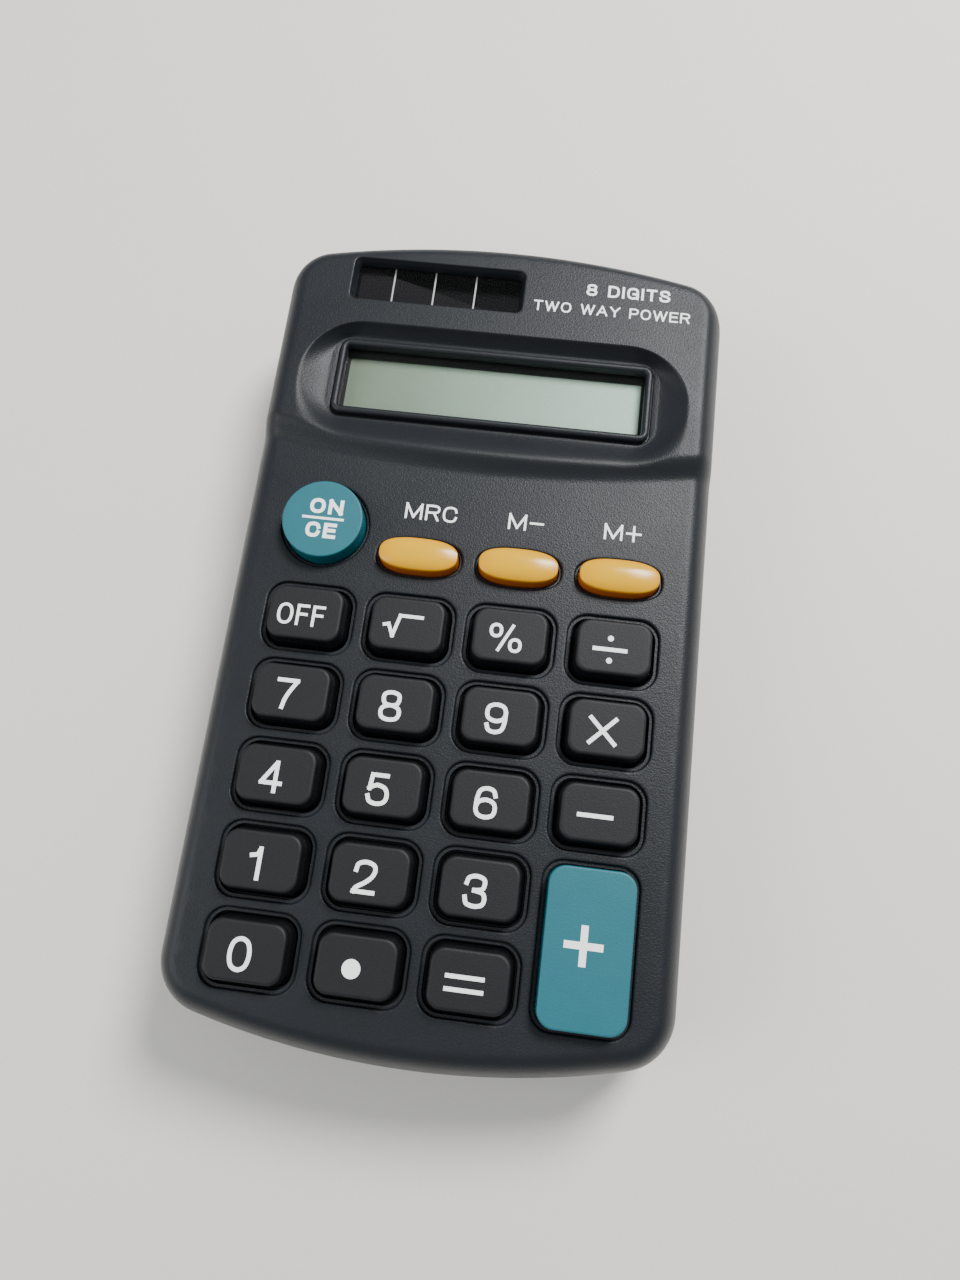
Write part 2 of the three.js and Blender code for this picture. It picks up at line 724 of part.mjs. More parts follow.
// ---------------------------------------------------------------- solar panel
function solarPiece(top, thickness) {
  const width = solarOpeningWidth - 2 * solarBevel + 2 * solarFlange;
  const length = solarOpeningLength - 2 * solarBevel + 2 * solarFlange;
  return box(width, length, top - thickness, top, solarCentreX, solarCentreY);
}

// ---------------------------------------------------------------- membrane and board
function keyMembrane() {
  const lowY = rowY(4) - membraneMargin + 1;
  const highY = roundKeyY + membraneMargin;
  const width = 2 * (columnX(3) + membraneSideMargin);
  const sheet = prism(
    roundedRectangle(width, highY - lowY, 1.5, 0, (lowY + highY) / 2),
    sheetBottomZ,
    sheetTopZ,
  );
  const dome = (baseRadius, topRadius, low, high, scale, x, y) =>
    solidOf(
      loft([
        { ring: circle(baseRadius * scale, x, y, 8), z: low },
        { ring: circle(baseRadius * scale, x, y, 8), z: low + 0.3 },
        { ring: circle(topRadius * scale, x, y, 8), z: high },
      ]),
    );
  const domes = keys.map(({ x, y, kind }) =>
    dome(domeBaseRadius, domeTopRadius, sheetBottomZ + slit, sheetTopZ + domeHeight, kind.domeScale, x, y),
  );
  const hollows = keys.map(({ x, y, kind }) =>
    dome(
      domeBaseRadius - domeWall,
      domeTopRadius - 0.2,
      sheetBottomZ - fuse,
      sheetTopZ + domeHeight - 1,
      kind.domeScale,
      x,
      y,
    ),
  );
  return without(union(sheet, ...domes), ...hollows);
}

function circuitBoard() {
  const board = prism(
    roundedRectangle(boardWidth, boardTopY - boardBottomY, 2, 0, (boardTopY + boardBottomY) / 2),
    boardBottomZ,
    boardTopZ,
  );
  const low = boardBottomZ - cutRoom;
  const high = boardTopZ + cutRoom;
  const notchRadius = caseBossRadius + boardClearance;
  const notches = caseScrews.map(([x, y]) => prism(circle(notchRadius, x, y, 16), low, high));
  const edgeNotches = caseScrews
    .filter(([, y]) => y > 0)
    .map(([x, y]) => box(4, 2 * notchRadius, low, high, x + Math.sign(x) * 2, y));
  const holes = boardScrews.map(([x, y]) =>
    prism(circle(boardScrew.shaftRadius + boardHoleClearance, x, y, 12), low, high));
  return without(board, ...notches, ...edgeNotches, ...holes);
}

const underBoard = (height) => boardBottomZ - height;

function chipDome() {
  const { radius, height } = chipBlob;
  const profile = [
    [0, -height],
    [radius * 0.5, -height * 0.9],
    [radius * 0.85, -height * 0.55],
    [radius, 0],
    [0, 0],
  ];
  return turned(profile, 14).translate(chipBlob.x, chipBlob.y, boardBottomZ);
}

// A leaded piece lying under the board: a body along X with two legs up to the board.
function leadedBody(radius, length, x, y) {
  const axisZ = underBoard(resistor.leadDrop);
  const body = solidOf(
    new THREE.CylinderGeometry(radius, radius, length, 10).rotateZ(Math.PI / 2).translate(x, y, axisZ),
  );
  const legX = length / 2 + 1;
  const legs = [-1, 1].flatMap((side) => [
    box(1.6, 2 * resistor.leadRadius, axisZ - resistor.leadRadius, axisZ + resistor.leadRadius,
      x + side * (length / 2 + 0.5), y),
    box(2 * resistor.leadRadius, 2 * resistor.leadRadius, axisZ - resistor.leadRadius, boardBottomZ,
      x + side * legX, y),
  ]);
  return union(body, ...legs);
}

function capacitorSolid() {
  const { x, y, radius, length } = capacitor;
  const axisZ = underBoard(radius + 0.2);
  const can = solidOf(
    new THREE.CylinderGeometry(radius, radius, length, 14).rotateZ(Math.PI / 2).translate(x, y, axisZ),
  );
  const legs = [-1, 1].map((side) =>
    union(
      box(2, 0.5, axisZ - 0.25, axisZ + 0.25, x + length / 2 + 0.8, y + side),
      box(0.5, 0.5, axisZ - 0.25, boardBottomZ, x + length / 2 + 1.55, y + side),
    ),
  );
  return union(can, ...legs);
}

// ---------------------------------------------------------------- battery and contacts
function batterySolid() {
  const half = batteryBodyLength / 2;
  const profile = [
    [0, -half],
    [batteryRadius - 0.6, -half],
    [batteryRadius, -half + 0.5],
    [batteryRadius, half - 0.5],
    [batteryRadius - 0.6, half],
    [batteryNubRadius, half],
    [batteryNubRadius, half + batteryNubLength - 0.2],
    [batteryNubRadius - 0.3, half + batteryNubLength],
    [0, half + batteryNubLength],
  ];
  return turned(profile, 20).rotateY(Math.PI / 2).translate(batteryOffsetX, batteryCentreY, batteryCentreZ);
}

class SpringPath extends THREE.Curve {
  getPoint(t, target = new THREE.Vector3()) {
    const angle = t * springTurns * 2 * Math.PI;
    const radius = springRadius - t * 0.8;
    const reach = springLength - 2 * springWireRadius;
    return target.set(
      springPlateX + contactThickness + springWireRadius - 0.05 + t * reach,
      batteryCentreY + radius * Math.cos(angle),
      batteryCentreZ + radius * Math.sin(angle),
    );
  }
}

// A tube of even section along a curve, closed at both ends.
function tube(path, radius, steps, sides = 6) {
  const section = new THREE.Shape(circle(radius, 0, 0, sides));
  return solidOf(new THREE.ExtrudeGeometry(section, { steps, extrudePath: path, bevelEnabled: false }));
}

function batterySpring() {
  const plate = box(
    contactThickness,
    contactWidth,
    batteryCentreZ - contactHeight / 2,
    batteryCentreZ + contactHeight / 2,
    springPlateX + contactThickness / 2,
    batteryCentreY,
  );
  return union(plate, tube(new SpringPath(), springWireRadius, 26, 5));
}

function batteryPlate() {
  const plate = box(
    contactThickness,
    contactWidth,
    batteryCentreZ - contactHeight / 2,
    batteryCentreZ + contactHeight / 2,
    flatPlateX + contactThickness / 2,
    batteryCentreY,
  );
  const cup = solidOf(
    new THREE.CylinderGeometry(1.6, 2.6, plateGap, 12)
      .rotateZ(Math.PI / 2)
      .translate(flatPlateX - plateGap / 2 + 0.05, batteryCentreY, batteryCentreZ),
  );
  return union(plate, cup);
}

// ---------------------------------------------------------------- wires, point by point
// Each route is hand-drawn from its contact to a pad on the board's underside.
const padZ = boardBottomZ - wireRadius - 0.05;
const solderZ = solarSeatZ - solarWindowThickness - solarCellThickness - wireRadius - slit;
const contactX = { red: flatPlateX + contactThickness, black: springPlateX };
const batteryRoute = (plateX, side) => [
  [plateX - side * 1.3, batteryCentreY - 4, batteryCentreZ - 3.6],
  [plateX - side, batteryCentreY - 6, batteryCentreZ - 3.2],
  [plateX - side * 0.7, doorNearY - 1.6, batteryCentreZ - 2],
  [plateX - side * 1.8, doorNearY - 4.6, batteryCentreZ + 0.2],
  [plateX - side * 3.8, doorNearY - 6.6, padZ],
];
const solarRoute = (plateX, side, panelPoints) => [
  ...panelPoints.map(([x, below]) => [x, batteryCentreY - below, solderZ]),
  [plateX - side * 2.2, batteryCentreY - 2.7, solderZ - 0.7],
  [plateX - side * 0.2, batteryCentreY - 5.1, padZ + 3.45],
  [plateX + side * 0.3, batteryCentreY - 7.5, padZ + 0.85],
  [plateX - side, batteryNearY - 1.9, padZ - 1.15],
  [plateX - side * 5, batteryNearY - 3.1, padZ - 1.15],
  [plateX - side * 7, batteryNearY - 3.3, padZ],
];
const panelPads = {
  red: [
    [solarCentreX - 9.9, 1.2],
    [solarCentreX - 13.4, 2],
  ],
  black: [
    [solarCentreX + 9.2, 1.2],
    [solarCentreX + 15.6, 1.8],
    [solarCentreX + 29.6, 2.2],
  ],
};
const wireRoutes = {
  battery_wire_red: batteryRoute(contactX.red, 1),
  battery_wire_black: batteryRoute(contactX.black, -1),
  solar_wire_red: solarRoute(contactX.black, -1, panelPads.red),
  solar_wire_black: solarRoute(contactX.red, 1, panelPads.black),
};

function wire(points) {
  const path = new THREE.CatmullRomCurve3(points.map((p) => new THREE.Vector3(...p)));
  return tube(path, wireRadius, points.length * 3);
}

// ---------------------------------------------------------------- screws, heads down
function screw({ headRadius, headHeight, shaftRadius, length }, x, y, seatZ) {
  const profile = [
    [0, -headHeight],
    [headRadius * 0.8, -headHeight],
    [headRadius, 0],
    [shaftRadius, 0],
    [shaftRadius, length - 0.8],
    [shaftRadius * 0.4, length],
    [0, length],
  ];
  const slotDepth = headHeight * 0.5;
  const cross = [
    [0.5, headRadius * 1.1],
    [headRadius * 1.1, 0.5],
  ].map(([w, l]) => box(w, l, -headHeight - 1, -headHeight + slotDepth));
  return without(solidOf(turned(profile, 10)), ...cross).translate([x, y, seatZ]);
}

// ---------------------------------------------------------------- finishes
const finish = (color, roughness, metalness = 0) =>
  new THREE.MeshStandardMaterial({ color, roughness, metalness });
const clear = (color, opacity) =>
  new THREE.MeshStandardMaterial({ color, roughness: 0.05, transparent: true, opacity });
const finishes = {
  casing: finish(0x26292c, 0.55),
  black: finish(0x17181a, 0.4),
  teal: finish(0x2f8f96, 0.4),
  yellow: finish(0xf2b21a, 0.35),
  clear: clear(0xdfe6e4, 0.3),
  smoked: finish(0x1a1614, 0.08),
  glass: clear(0xb9c9bf, 0.4),
  reflector: finish(0x9db0a2, 0.4),
  rubber: finish(0x8f9496, 0.8),
  board: finish(0x2f6b3a, 0.5),
  epoxy: finish(0x0d0d0d, 0.3),
  component: finish(0xc9a97a, 0.5),
  can: finish(0x23305a, 0.4),
  wrap: finish(0x3a3f46, 0.35),
  metal: finish(0xb9bcc0, 0.3, 1),
  red: finish(0xb3231d, 0.5),
  blackWire: finish(0x111111, 0.5),
};

// ---------------------------------------------------------------- the assembly
const calculator = new THREE.Group();

function add(name, shape, material) {
  const geometry = shape.isBufferGeometry ? shape : geometryOf(shape);
  const mesh = new THREE.Mesh(geometry, finishes[material]);
  mesh.name = name;
  calculator.add(mesh);
  return mesh;
}

add("front_case", frontCase(), "casing");
add("rear_case", rearCase(), "casing");
add("battery_door", batteryDoor(), "casing");

add("display_window", displayWindow(), "clear");
add("lcd_front_polariser", frontPolariser(), "glass");
add("lcd_front_glass", frontGlass(), "glass");
add("lcd_rear_glass", rearGlass(), "glass");
add("lcd_reflector", reflector(), "reflector");
add("lcd_carrier", displayCarrier(), "black");
add("zebra_strip", zebraStrip(), "rubber");

add("solar_window", solarPiece(solarSeatZ, solarWindowThickness), "clear");
add("solar_panel", solarPiece(solarSeatZ - solarWindowThickness, solarCellThickness), "smoked");

for (const { name, kind, x, y, colour } of keys) {
  kind.geometry ??= geometryOf(keySolid(kind));
  add(name, kind.geometry, colour).position.set(x, y, 0);
}

add("key_membrane", keyMembrane(), "rubber");
add("circuit_board", circuitBoard(), "board");
add("chip_blob", chipDome(), "epoxy");
add("capacitor", capacitorSolid(), "can");
add("resistor_1", leadedBody(resistor.radius, resistor.length, -6, 2.5), "component");
add("resistor_2", leadedBody(resistor.radius, resistor.length, -6, -25.5), "component");
add("diode", leadedBody(diode.radius, diode.length, diode.x, diode.y), "epoxy");

add("battery", batterySolid(), "wrap");
add("battery_spring", batterySpring(), "metal");
add("battery_plate", batteryPlate(), "metal");

for (const [name, points] of Object.entries(wireRoutes)) {
  add(name, wire(points), name.endsWith("red") ? "red" : "blackWire");
}

caseScrews.forEach(([x, y], i) => {
  add(`case_screw_${i + 1}`, screw(caseScrew, x, y, caseScrew.seatZ), "metal");
});
boardScrews.forEach(([x, y], i) => {
  add(`board_screw_${i + 1}`, screw(boardScrew, x, y, boardBottomZ), "metal");
});

export default calculator;
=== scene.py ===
"""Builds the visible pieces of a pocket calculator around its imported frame, and a small studio for it."""

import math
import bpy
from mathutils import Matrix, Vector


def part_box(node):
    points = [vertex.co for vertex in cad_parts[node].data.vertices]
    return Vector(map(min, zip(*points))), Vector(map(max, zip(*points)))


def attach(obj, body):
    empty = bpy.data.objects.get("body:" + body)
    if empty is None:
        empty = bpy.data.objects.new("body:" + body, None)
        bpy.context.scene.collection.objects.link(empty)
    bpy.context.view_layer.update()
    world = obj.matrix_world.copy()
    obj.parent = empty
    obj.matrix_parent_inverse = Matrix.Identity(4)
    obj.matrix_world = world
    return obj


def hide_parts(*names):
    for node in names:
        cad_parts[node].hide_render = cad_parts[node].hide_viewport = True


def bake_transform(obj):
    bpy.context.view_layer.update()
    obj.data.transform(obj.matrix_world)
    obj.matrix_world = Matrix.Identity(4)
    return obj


bl_info = {
    "name": "Pocket Calculator",
    "version": (1, 0, 0),
    "blender": (4, 5, 0),
    "location": "3D View > Sidebar > Calculator",
    "description": "Builds a pocket calculator's shells, keys, display and inside around its frame",
    "category": "Add Mesh",
}

import bmesh
import bpy
import numpy as np
from bpy.props import FloatProperty, FloatVectorProperty, IntProperty, PointerProperty
from mathutils import Matrix, Vector
from mathutils.geometry import delaunay_2d_cdt

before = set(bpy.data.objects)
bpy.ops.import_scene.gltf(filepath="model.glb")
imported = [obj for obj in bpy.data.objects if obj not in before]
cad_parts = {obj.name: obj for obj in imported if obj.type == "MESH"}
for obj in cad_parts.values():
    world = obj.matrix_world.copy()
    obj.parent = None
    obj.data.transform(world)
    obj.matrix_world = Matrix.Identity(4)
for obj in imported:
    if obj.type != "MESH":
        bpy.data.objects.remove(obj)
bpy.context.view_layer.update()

MM = 0.001


# ---------------------------------------------------------------- places that the frame gives, in mm
def place(node):
    """A node's middle and its size along x, y and z, in millimetres."""
    low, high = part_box(node)
    return (low + high) / 2 / MM, (high - low) / MM


def top_of(node):
    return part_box(node)[1].z / MM


def bottom_of(node):
    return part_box(node)[0].z / MM


CASE_SIZE = place("rear_case")[1]
WINDOW_MIDDLE, WINDOW_SIZE = place("display_window")
SOLAR_MIDDLE, SOLAR_SIZE = place("solar_window")
BATTERY_MIDDLE, BATTERY_SIZE = place("battery")
SPRING_MIDDLE, SPRING_SIZE = place("battery_spring")
PLATE_MIDDLE, PLATE_SIZE = place("battery_plate")

# the casing's plan and its walls
TOP_ARC_RADIUS = 127
BOTTOM_ARC_RADIUS = 112
CORNER_RADIUS = 8
PARTING = 10
PARTING_GAP = 0.1
SHELL_WALL = 1.8
FRONT_SETBACK = 0.3
FRONT_WALL = (1.1, 2.9, 4)  # lean, roll and sharpness
FRONT_HOLLOW = (0.8, 0.8, 4)
REAR_WALL = (0.2, 2.4, 2.4)
LIP_HEIGHT = 1
LIP_THICKNESS = 0.6
LIP_ROOM = 0.2

# faces
DISPLAY_FACE = top_of("front_case")
DISPLAY_RISE = 1.5
KEYPAD_FACE = DISPLAY_FACE - DISPLAY_RISE
UNDERSIDE = KEYPAD_FACE - 1.8
UPPER_UNDERSIDE = DISPLAY_FACE - 1.8
UPPER_ROOM_Y = WINDOW_MIDDLE.y + 9.25
STEP_RUN = 3.4
STEP_ARC_RADIUS = 166

# the dish, and the bead in it round the display
DISH_WIDTH = 54.2
DISH_LENGTH = 18.2
DISH_RADIUS = 8.6
DISH_Y = WINDOW_MIDDLE.y - 1.1
DISH_FLOOR_WIDTH = 46.6
DISH_FLOOR_LENGTH = 12.9
DISH_FLOOR_RADIUS = 3
DISH_FLOOR_Y = WINDOW_MIDDLE.y + 0.1
DISH_DEPTH = 1.9
DISH_FLOOR = DISPLAY_FACE - DISH_DEPTH
STEP_FOOT = DISH_Y - DISH_LENGTH / 2 - STEP_RUN + 0.3
DISH_STEPS = 16
DISH_SIDE_STEPS = 36
BEAD_WIDTH = 44.6
BEAD_LENGTH = 11.7
BEAD_RADIUS = 1.5
BEAD_BAR = 1.05
BEAD_HEIGHT = 0.9
WINDOW_FLANGE = 0.6
# painted shade: the black mask film under the window has its opening set low, so its wide top margin is a
# printed border and also stands in for the shade under the bead's top wall
MASK_OPENING = (41.9, 8.9, 0.3)  # width, length and corner radius
MASK_Y_WITH_SHADE_BAND = WINDOW_MIDDLE.y - 0.45

# the solar strip's opening
SOLAR_BEVEL = 0.5
SOLAR_FLANGE = 0.8
SOLAR_RADIUS = 1
FIT = 0.2

# the keys' wells and holes
WELL_DEPTH = 0.45
SQUARE_WELL = (11.85, 9.3, 2.6)
TALL_WELL = (11.85, 19.75, 2.6)
ROUND_WELL = 11.9
MEMORY_WELL = (11.5, 5.5, 2.6)
KEY_CLEARANCE = 0.15
KEY_CORNER = 0.75  # how much of a key's taper its corners take up
FLANGE_REACH = 0.5
FLANGE_TOP = UNDERSIDE - 0.1
FLANGE_BOTTOM = FLANGE_TOP - 1
KEY_FOOT = FLANGE_BOTTOM - 0.5
KEY_CEILING_DROP = 1.3
KEY_SKIRT = 1
KEY_POST_RADIUS = 1.4

# battery bay, screws and their posts
BUTTON_HEIGHT = 1.2
THREAD_STEP = 0.22
DOOR_WIDTH = 52.6
GRIP_Y = 46.5
GRIP_LENGTH = 9.4
GRIP_RADIUS = 2.2
GRIP_MARGIN = 1.5
RIB_THICKNESS = 0.62
DOOR_NEAR_Y = BATTERY_MIDDLE.y - BATTERY_SIZE.y / 2 - 0.5
DOOR_FAR_Y = BATTERY_MIDDLE.y + BATTERY_SIZE.y / 2 + 1
DOOR_RADIUS = 1.5
DOOR_THICKNESS = 1.6
DOOR_GAP = 0.15
DOOR_FAR_GAP = 0.3
BASE_THICKNESS = 1.8
COUNTERBORE = 1.8
SCREW_SEAT = 4.6
POST_TOP = 8.4
BOSS_FOOT = 8.6
POST_FOOT = 0.9  # posts, rib and holders start inside the base
POST_WALL = 1
POST_BORE = 1.1
CASE_BOSS = (1.9, 0.98)  # outer radius and bore
BOARD_BOSS = (1.7, 0.83)
BOSS_SINK = 0.4
RIB_SIZE = (45, 1.2)
RIB_TOP = 9.6
RIB_GAP = 1.7
HOLDER_SIZE = (1.2, 10)
HOLDER_TOP = 12
HOLDER_GAP = 0.05
TAB_X = 15
TAB_WIDTH = 6
CASE_SCREWS = [place(f"case_screw_{i}")[0].xy for i in range(1, 5)]
BOARD_SCREWS = [place(f"board_screw_{i}")[0].xy for i in range(1, 5)]

# the camera's place and turn in the frame's own axes, its lens, and the lights
CAMERA_PLACE = (9.18, -33.15, 132.69)
CAMERA_RIGHT = (0.9921842, 0.12249361, -0.02378733)
CAMERA_DOWN = (0.11229803, -0.95965814, -0.25777008)
CAMERA_AHEAD = (-0.0544029, 0.25308413, -0.96591343)
SENSOR = 36
LENS = 25.3125
FLOOR_REACH = 1500
FLOOR_TOP = -0.02
MAIN_LIGHT = ((200, 300, 460), 200)  # place and width
FILL_LIGHT = ((-450, -150, 400), 400)
LIGHT_TARGET = (0, 0, 10)

SQUARE_KEYS = {
    "key_off": "OFF", "key_root": "root", "key_percent": "%", "key_divide": "divide",
    "key_7": "7", "key_8": "8", "key_9": "9", "key_multiply": "times",
    "key_4": "4", "key_5": "5", "key_6": "6", "key_minus": "-",
    "key_1": "1", "key_2": "2", "key_3": "3",
    "key_0": "0", "key_point": ".", "key_equals": "=",
}
MEMORY_KEYS = {"key_memory_recall": "MRC", "key_memory_minus": "M-", "key_memory_plus": "M+"}
ALL_KEYS = ["key_on_clear", *MEMORY_KEYS, *SQUARE_KEYS, "key_plus"]


# ---------------------------------------------------------------- rings of points in plan
def rounded_rectangle(width, length, radius, middle=(0, 0), steps=8, side_steps=6):
    """A closed ring, anticlockwise, with points along its straight sides too."""
    ring = []
    for quarter, (sx, sy) in enumerate([(1, 1), (-1, 1), (-1, -1), (1, -1)]):
        centre = np.array([sx * (width / 2 - radius), sy * (length / 2 - radius)])
        angles = (quarter + np.linspace(0, 1, steps + 1)) * math.pi / 2
        corner = centre + radius * np.column_stack([np.cos(angles), np.sin(angles)])
        ring.extend(corner)
        following = [(-1, 1), (-1, -1), (1, -1), (1, 1)][quarter]
        angle = (quarter + 1) * math.pi / 2
        start = np.array([following[0] * (width / 2 - radius), following[1] * (length / 2 - radius)])
        start = start + radius * np.array([math.cos(angle), math.sin(angle)])
        for share in np.linspace(0, 1, side_steps + 1)[1:-1]:
            ring.append(corner[-1] + share * (start - corner[-1]))
    return np.array(ring) + np.array(middle)


def superellipse(width, length, exponent, middle=(0, 0), count=64):
    angles = np.arange(count) / count * 2 * math.pi
    c, s = np.cos(angles), np.sin(angles)
    x = width / 2 * np.sign(c) * np.abs(c) ** (2 / exponent)
    y = length / 2 * np.sign(s) * np.abs(s) ** (2 / exponent)
    return np.column_stack([x, y]) + np.array(middle)


def circle(radius, middle=(0, 0), count=32):
    return superellipse(2 * radius, 2 * radius, 2, middle, count)


def drawn_to_circle(ring, radius):
    """A circle with one point for each point of a ring about the origin."""
    return ring / np.hypot(ring[:, 0], ring[:, 1])[:, None] * radius


def square_well(grow):
    width, length, radius = SQUARE_WELL
    return rounded_rectangle(width + 2 * grow, length + 2 * grow, radius + KEY_CORNER * grow)


def tall_well(grow):
    width, length, radius = TALL_WELL
    return rounded_rectangle(width + 2 * grow, length + 2 * grow, radius + KEY_CORNER * grow)


def round_well(grow):
    return circle(ROUND_WELL / 2 + grow, count=64)


def memory_well(grow):
    width, length, exponent = MEMORY_WELL
    return superellipse(width + 2 * grow, length + 2 * grow, exponent)


def key_middle(node):
    return np.array(place(node)[0].xy)


WELLS = [("key_on_clear", round_well, 0.35), ("key_plus", tall_well, 0.45)]
WELLS += [(name, memory_well, 0.3) for name in MEMORY_KEYS]
WELLS += [(name, square_well, 0.45) for name in SQUARE_KEYS]


# ---------------------------------------------------------------- the casing's plan
HALF_WIDTH = CASE_SIZE.x / 2
HALF_LENGTH = CASE_SIZE.y / 2
CORNER_X = HALF_WIDTH - CORNER_RADIUS
TOP_ARC_Y = HALF_LENGTH - TOP_ARC_RADIUS
BOTTOM_ARC_Y = BOTTOM_ARC_RADIUS - HALF_LENGTH
TOP_CORNER_Y = TOP_ARC_Y + math.sqrt((TOP_ARC_RADIUS - CORNER_RADIUS) ** 2 - CORNER_X**2)
BOTTOM_CORNER_Y = BOTTOM_ARC_Y - math.sqrt((BOTTOM_ARC_RADIUS - CORNER_RADIUS) ** 2 - CORNER_X**2)


def arc(x, y, radius, start, end, steps):
    angles = start + (end - start) * np.arange(steps) / steps
    return np.column_stack([x + radius * np.cos(angles), y + radius * np.sin(angles)])


def outline(inset):
    """The casing's outline drawn in by an inset, point for point the same as the full one."""
    top = math.atan2(TOP_CORNER_Y - TOP_ARC_Y, CORNER_X)
    bottom = math.atan2(BOTTOM_ARC_Y - BOTTOM_CORNER_Y, CORNER_X)
    radius = CORNER_RADIUS - inset
    step_top = STEP_FOOT + STEP_RUN + 6
    side = np.concatenate([
        np.linspace(TOP_CORNER_Y, step_top, 12)[:-1],
        np.linspace(step_top, STEP_FOOT - 2, 36)[:-1],
        np.linspace(STEP_FOOT - 2, BOTTOM_CORNER_Y, 34)[:-1],
    ])
    left = np.column_stack([np.full(len(side), -HALF_WIDTH + inset), side])
    right_side = np.concatenate([[BOTTOM_CORNER_Y], side[1:][::-1]])
    right = np.column_stack([np.full(len(right_side), HALF_WIDTH - inset), right_side])
    return np.vstack([
        arc(CORNER_X, TOP_CORNER_Y, radius, 0, top, 12),
        arc(0, TOP_ARC_Y, TOP_ARC_RADIUS - inset, top, math.pi - top, 40),
        arc(-CORNER_X, TOP_CORNER_Y, radius, math.pi - top, math.pi, 12),
        left,
        arc(-CORNER_X, BOTTOM_CORNER_Y, radius, math.pi, math.pi + bottom, 12),
        arc(0, BOTTOM_ARC_Y, BOTTOM_ARC_RADIUS - inset, math.pi + bottom, 2 * math.pi - bottom, 40),
        arc(CORNER_X, BOTTOM_CORNER_Y, radius, 2 * math.pi - bottom, 2 * math.pi, 12),
        right,
    ])


def inset_at(x, y):
    """How far in from the casing's outline each point is."""
    side = HALF_WIDTH - np.abs(x)
    slope_top = (TOP_CORNER_Y - TOP_ARC_Y) / CORNER_X
    slope_bottom = (BOTTOM_ARC_Y - BOTTOM_CORNER_Y) / CORNER_X
    in_top = (y - TOP_ARC_Y) > slope_top * np.abs(x)
    in_bottom = (BOTTOM_ARC_Y - y) > slope_bottom * np.abs(x)
    result = np.where(in_top & (y > 0), TOP_ARC_RADIUS - np.hypot(x, y - TOP_ARC_Y), side)
    result = np.where(in_bottom & (y < 0), BOTTOM_ARC_RADIUS - np.hypot(x, y - BOTTOM_ARC_Y), result)
    corner_top = ~in_top & (y > TOP_CORNER_Y)
    corner_bottom = ~in_bottom & (y < BOTTOM_CORNER_Y)
    along = np.abs(x) - CORNER_X
    result = np.where(corner_top, CORNER_RADIUS - np.hypot(along, y - TOP_CORNER_Y), result)
    return np.where(corner_bottom, CORNER_RADIUS - np.hypot(along, y - BOTTOM_CORNER_Y), result)


def wall_inset(share, wall):
    """How far in a wall has come at a share of its height, 0 at the parting line and 1 at the flat."""
    lean, roll, sharpness = wall
    return lean * share + roll * (1 - np.sqrt(1 - share**sharpness))


def wall_share(inset, wall):
    """The share of its height that a wall has reached where it has come in by an inset."""
    shares = 1 - np.linspace(1, 0, 600) ** 2
    return np.interp(inset, wall_inset(shares, wall), shares)


def smooth_step(t):
    t = np.clip(t, 0, 1)
    return t * t * (3 - 2 * t)


def flat_height(x, y):
    """The face without its rolled edge or dish: the keypad, the step's slope and the display end."""
    foot = STEP_FOOT + x**2 / (2 * STEP_ARC_RADIUS)
    return KEYPAD_FACE + DISPLAY_RISE * smooth_step((y - foot) / STEP_RUN)


def dish_size(t):
    """The dish's width, length, corner radius and middle between its floor, t = 0, and its rim, t = 1."""
    floor = (DISH_FLOOR_WIDTH, DISH_FLOOR_LENGTH, DISH_FLOOR_RADIUS, DISH_FLOOR_Y)
    rim = (DISH_WIDTH, DISH_LENGTH, DISH_RADIUS, DISH_Y)
    return [low + t * (high - low) for low, high in zip(floor, rim)]


def dish_ring(t):
    width, length, radius, middle = dish_size(t)
    return rounded_rectangle(width, length, radius, (0, middle), DISH_STEPS, DISH_SIDE_STEPS)


def dish_share(x, y):
    """Where each point lies between the dish's floor, 0, and its rim, 1, found by halving."""
    low, high = np.full(np.shape(x), -0.6), np.full(np.shape(x), 3.0)
    for _ in range(24):
        t = (low + high) / 2
        width, length, radius, middle = dish_size(t)
        dx = np.abs(x) - (width / 2 - radius)
        dy = np.abs(y - middle) - (length / 2 - radius)
        away = np.hypot(np.maximum(dx, 0), np.maximum(dy, 0)) + np.minimum(np.maximum(dx, dy), 0)
        outside = away > radius
        low, high = np.where(outside, t, low), np.where(outside, high, t)
    return (low + high) / 2


def front_height(x, y):
    """The height of the front shell's outside over any point of its plan."""
    flat = flat_height(x, y)
    share = wall_share(inset_at(x, y) - FRONT_SETBACK, FRONT_WALL)
    height = PARTING + share * (flat - PARTING)
    settings = bpy.context.scene.calculator_casing
    t = np.clip(dish_share(x, y), 0, None)
    dish = DISH_FLOOR + DISH_DEPTH * t**settings.dish_curve
    # the rim is crisp at the ends and above, and melts into the step below
    below = smooth_step((DISH_Y - 1 - y) / 7)
    soft = (settings.rim_round + (settings.ridge_round - settings.rim_round) * below) / MM
    h = np.clip(0.5 + 0.5 * (height - dish) / soft, 0, 1)
    blended = height + h * (dish - height) - soft * h * (1 - h)
    return np.where(t <= 0, DISH_FLOOR, blended)


def rear_height(x, y):
    share = wall_share(inset_at(x, y), REAR_WALL)
    return PARTING * (1 - share)


# ---------------------------------------------------------------- mesh work
def inside(points, loop):
    """Which points lie in a closed loop."""
    x, y = points[:, 0], points[:, 1]
    result = np.zeros(len(points), bool)
    for (x1, y1), (x2, y2) in zip(loop, np.roll(loop, -1, axis=0)):
        if y1 == y2:
            continue
        crosses = (y1 > y) != (y2 > y)
        result ^= crosses & (x < (x2 - x1) * (y - y1) / (y2 - y1) + x1)
    return result


def clear_of(points, loop, gap):
    """Which points are further than a gap from a closed loop."""
    keep = np.ones(len(points), bool)
    for p, q in zip(loop, np.roll(loop, -1, axis=0)):
        d = q - p
        t = np.clip(((points - p) @ d) / max(d @ d, 1e-12), 0, 1)
        keep &= np.hypot(*(points - p - t[:, None] * d).T) > gap
    return keep


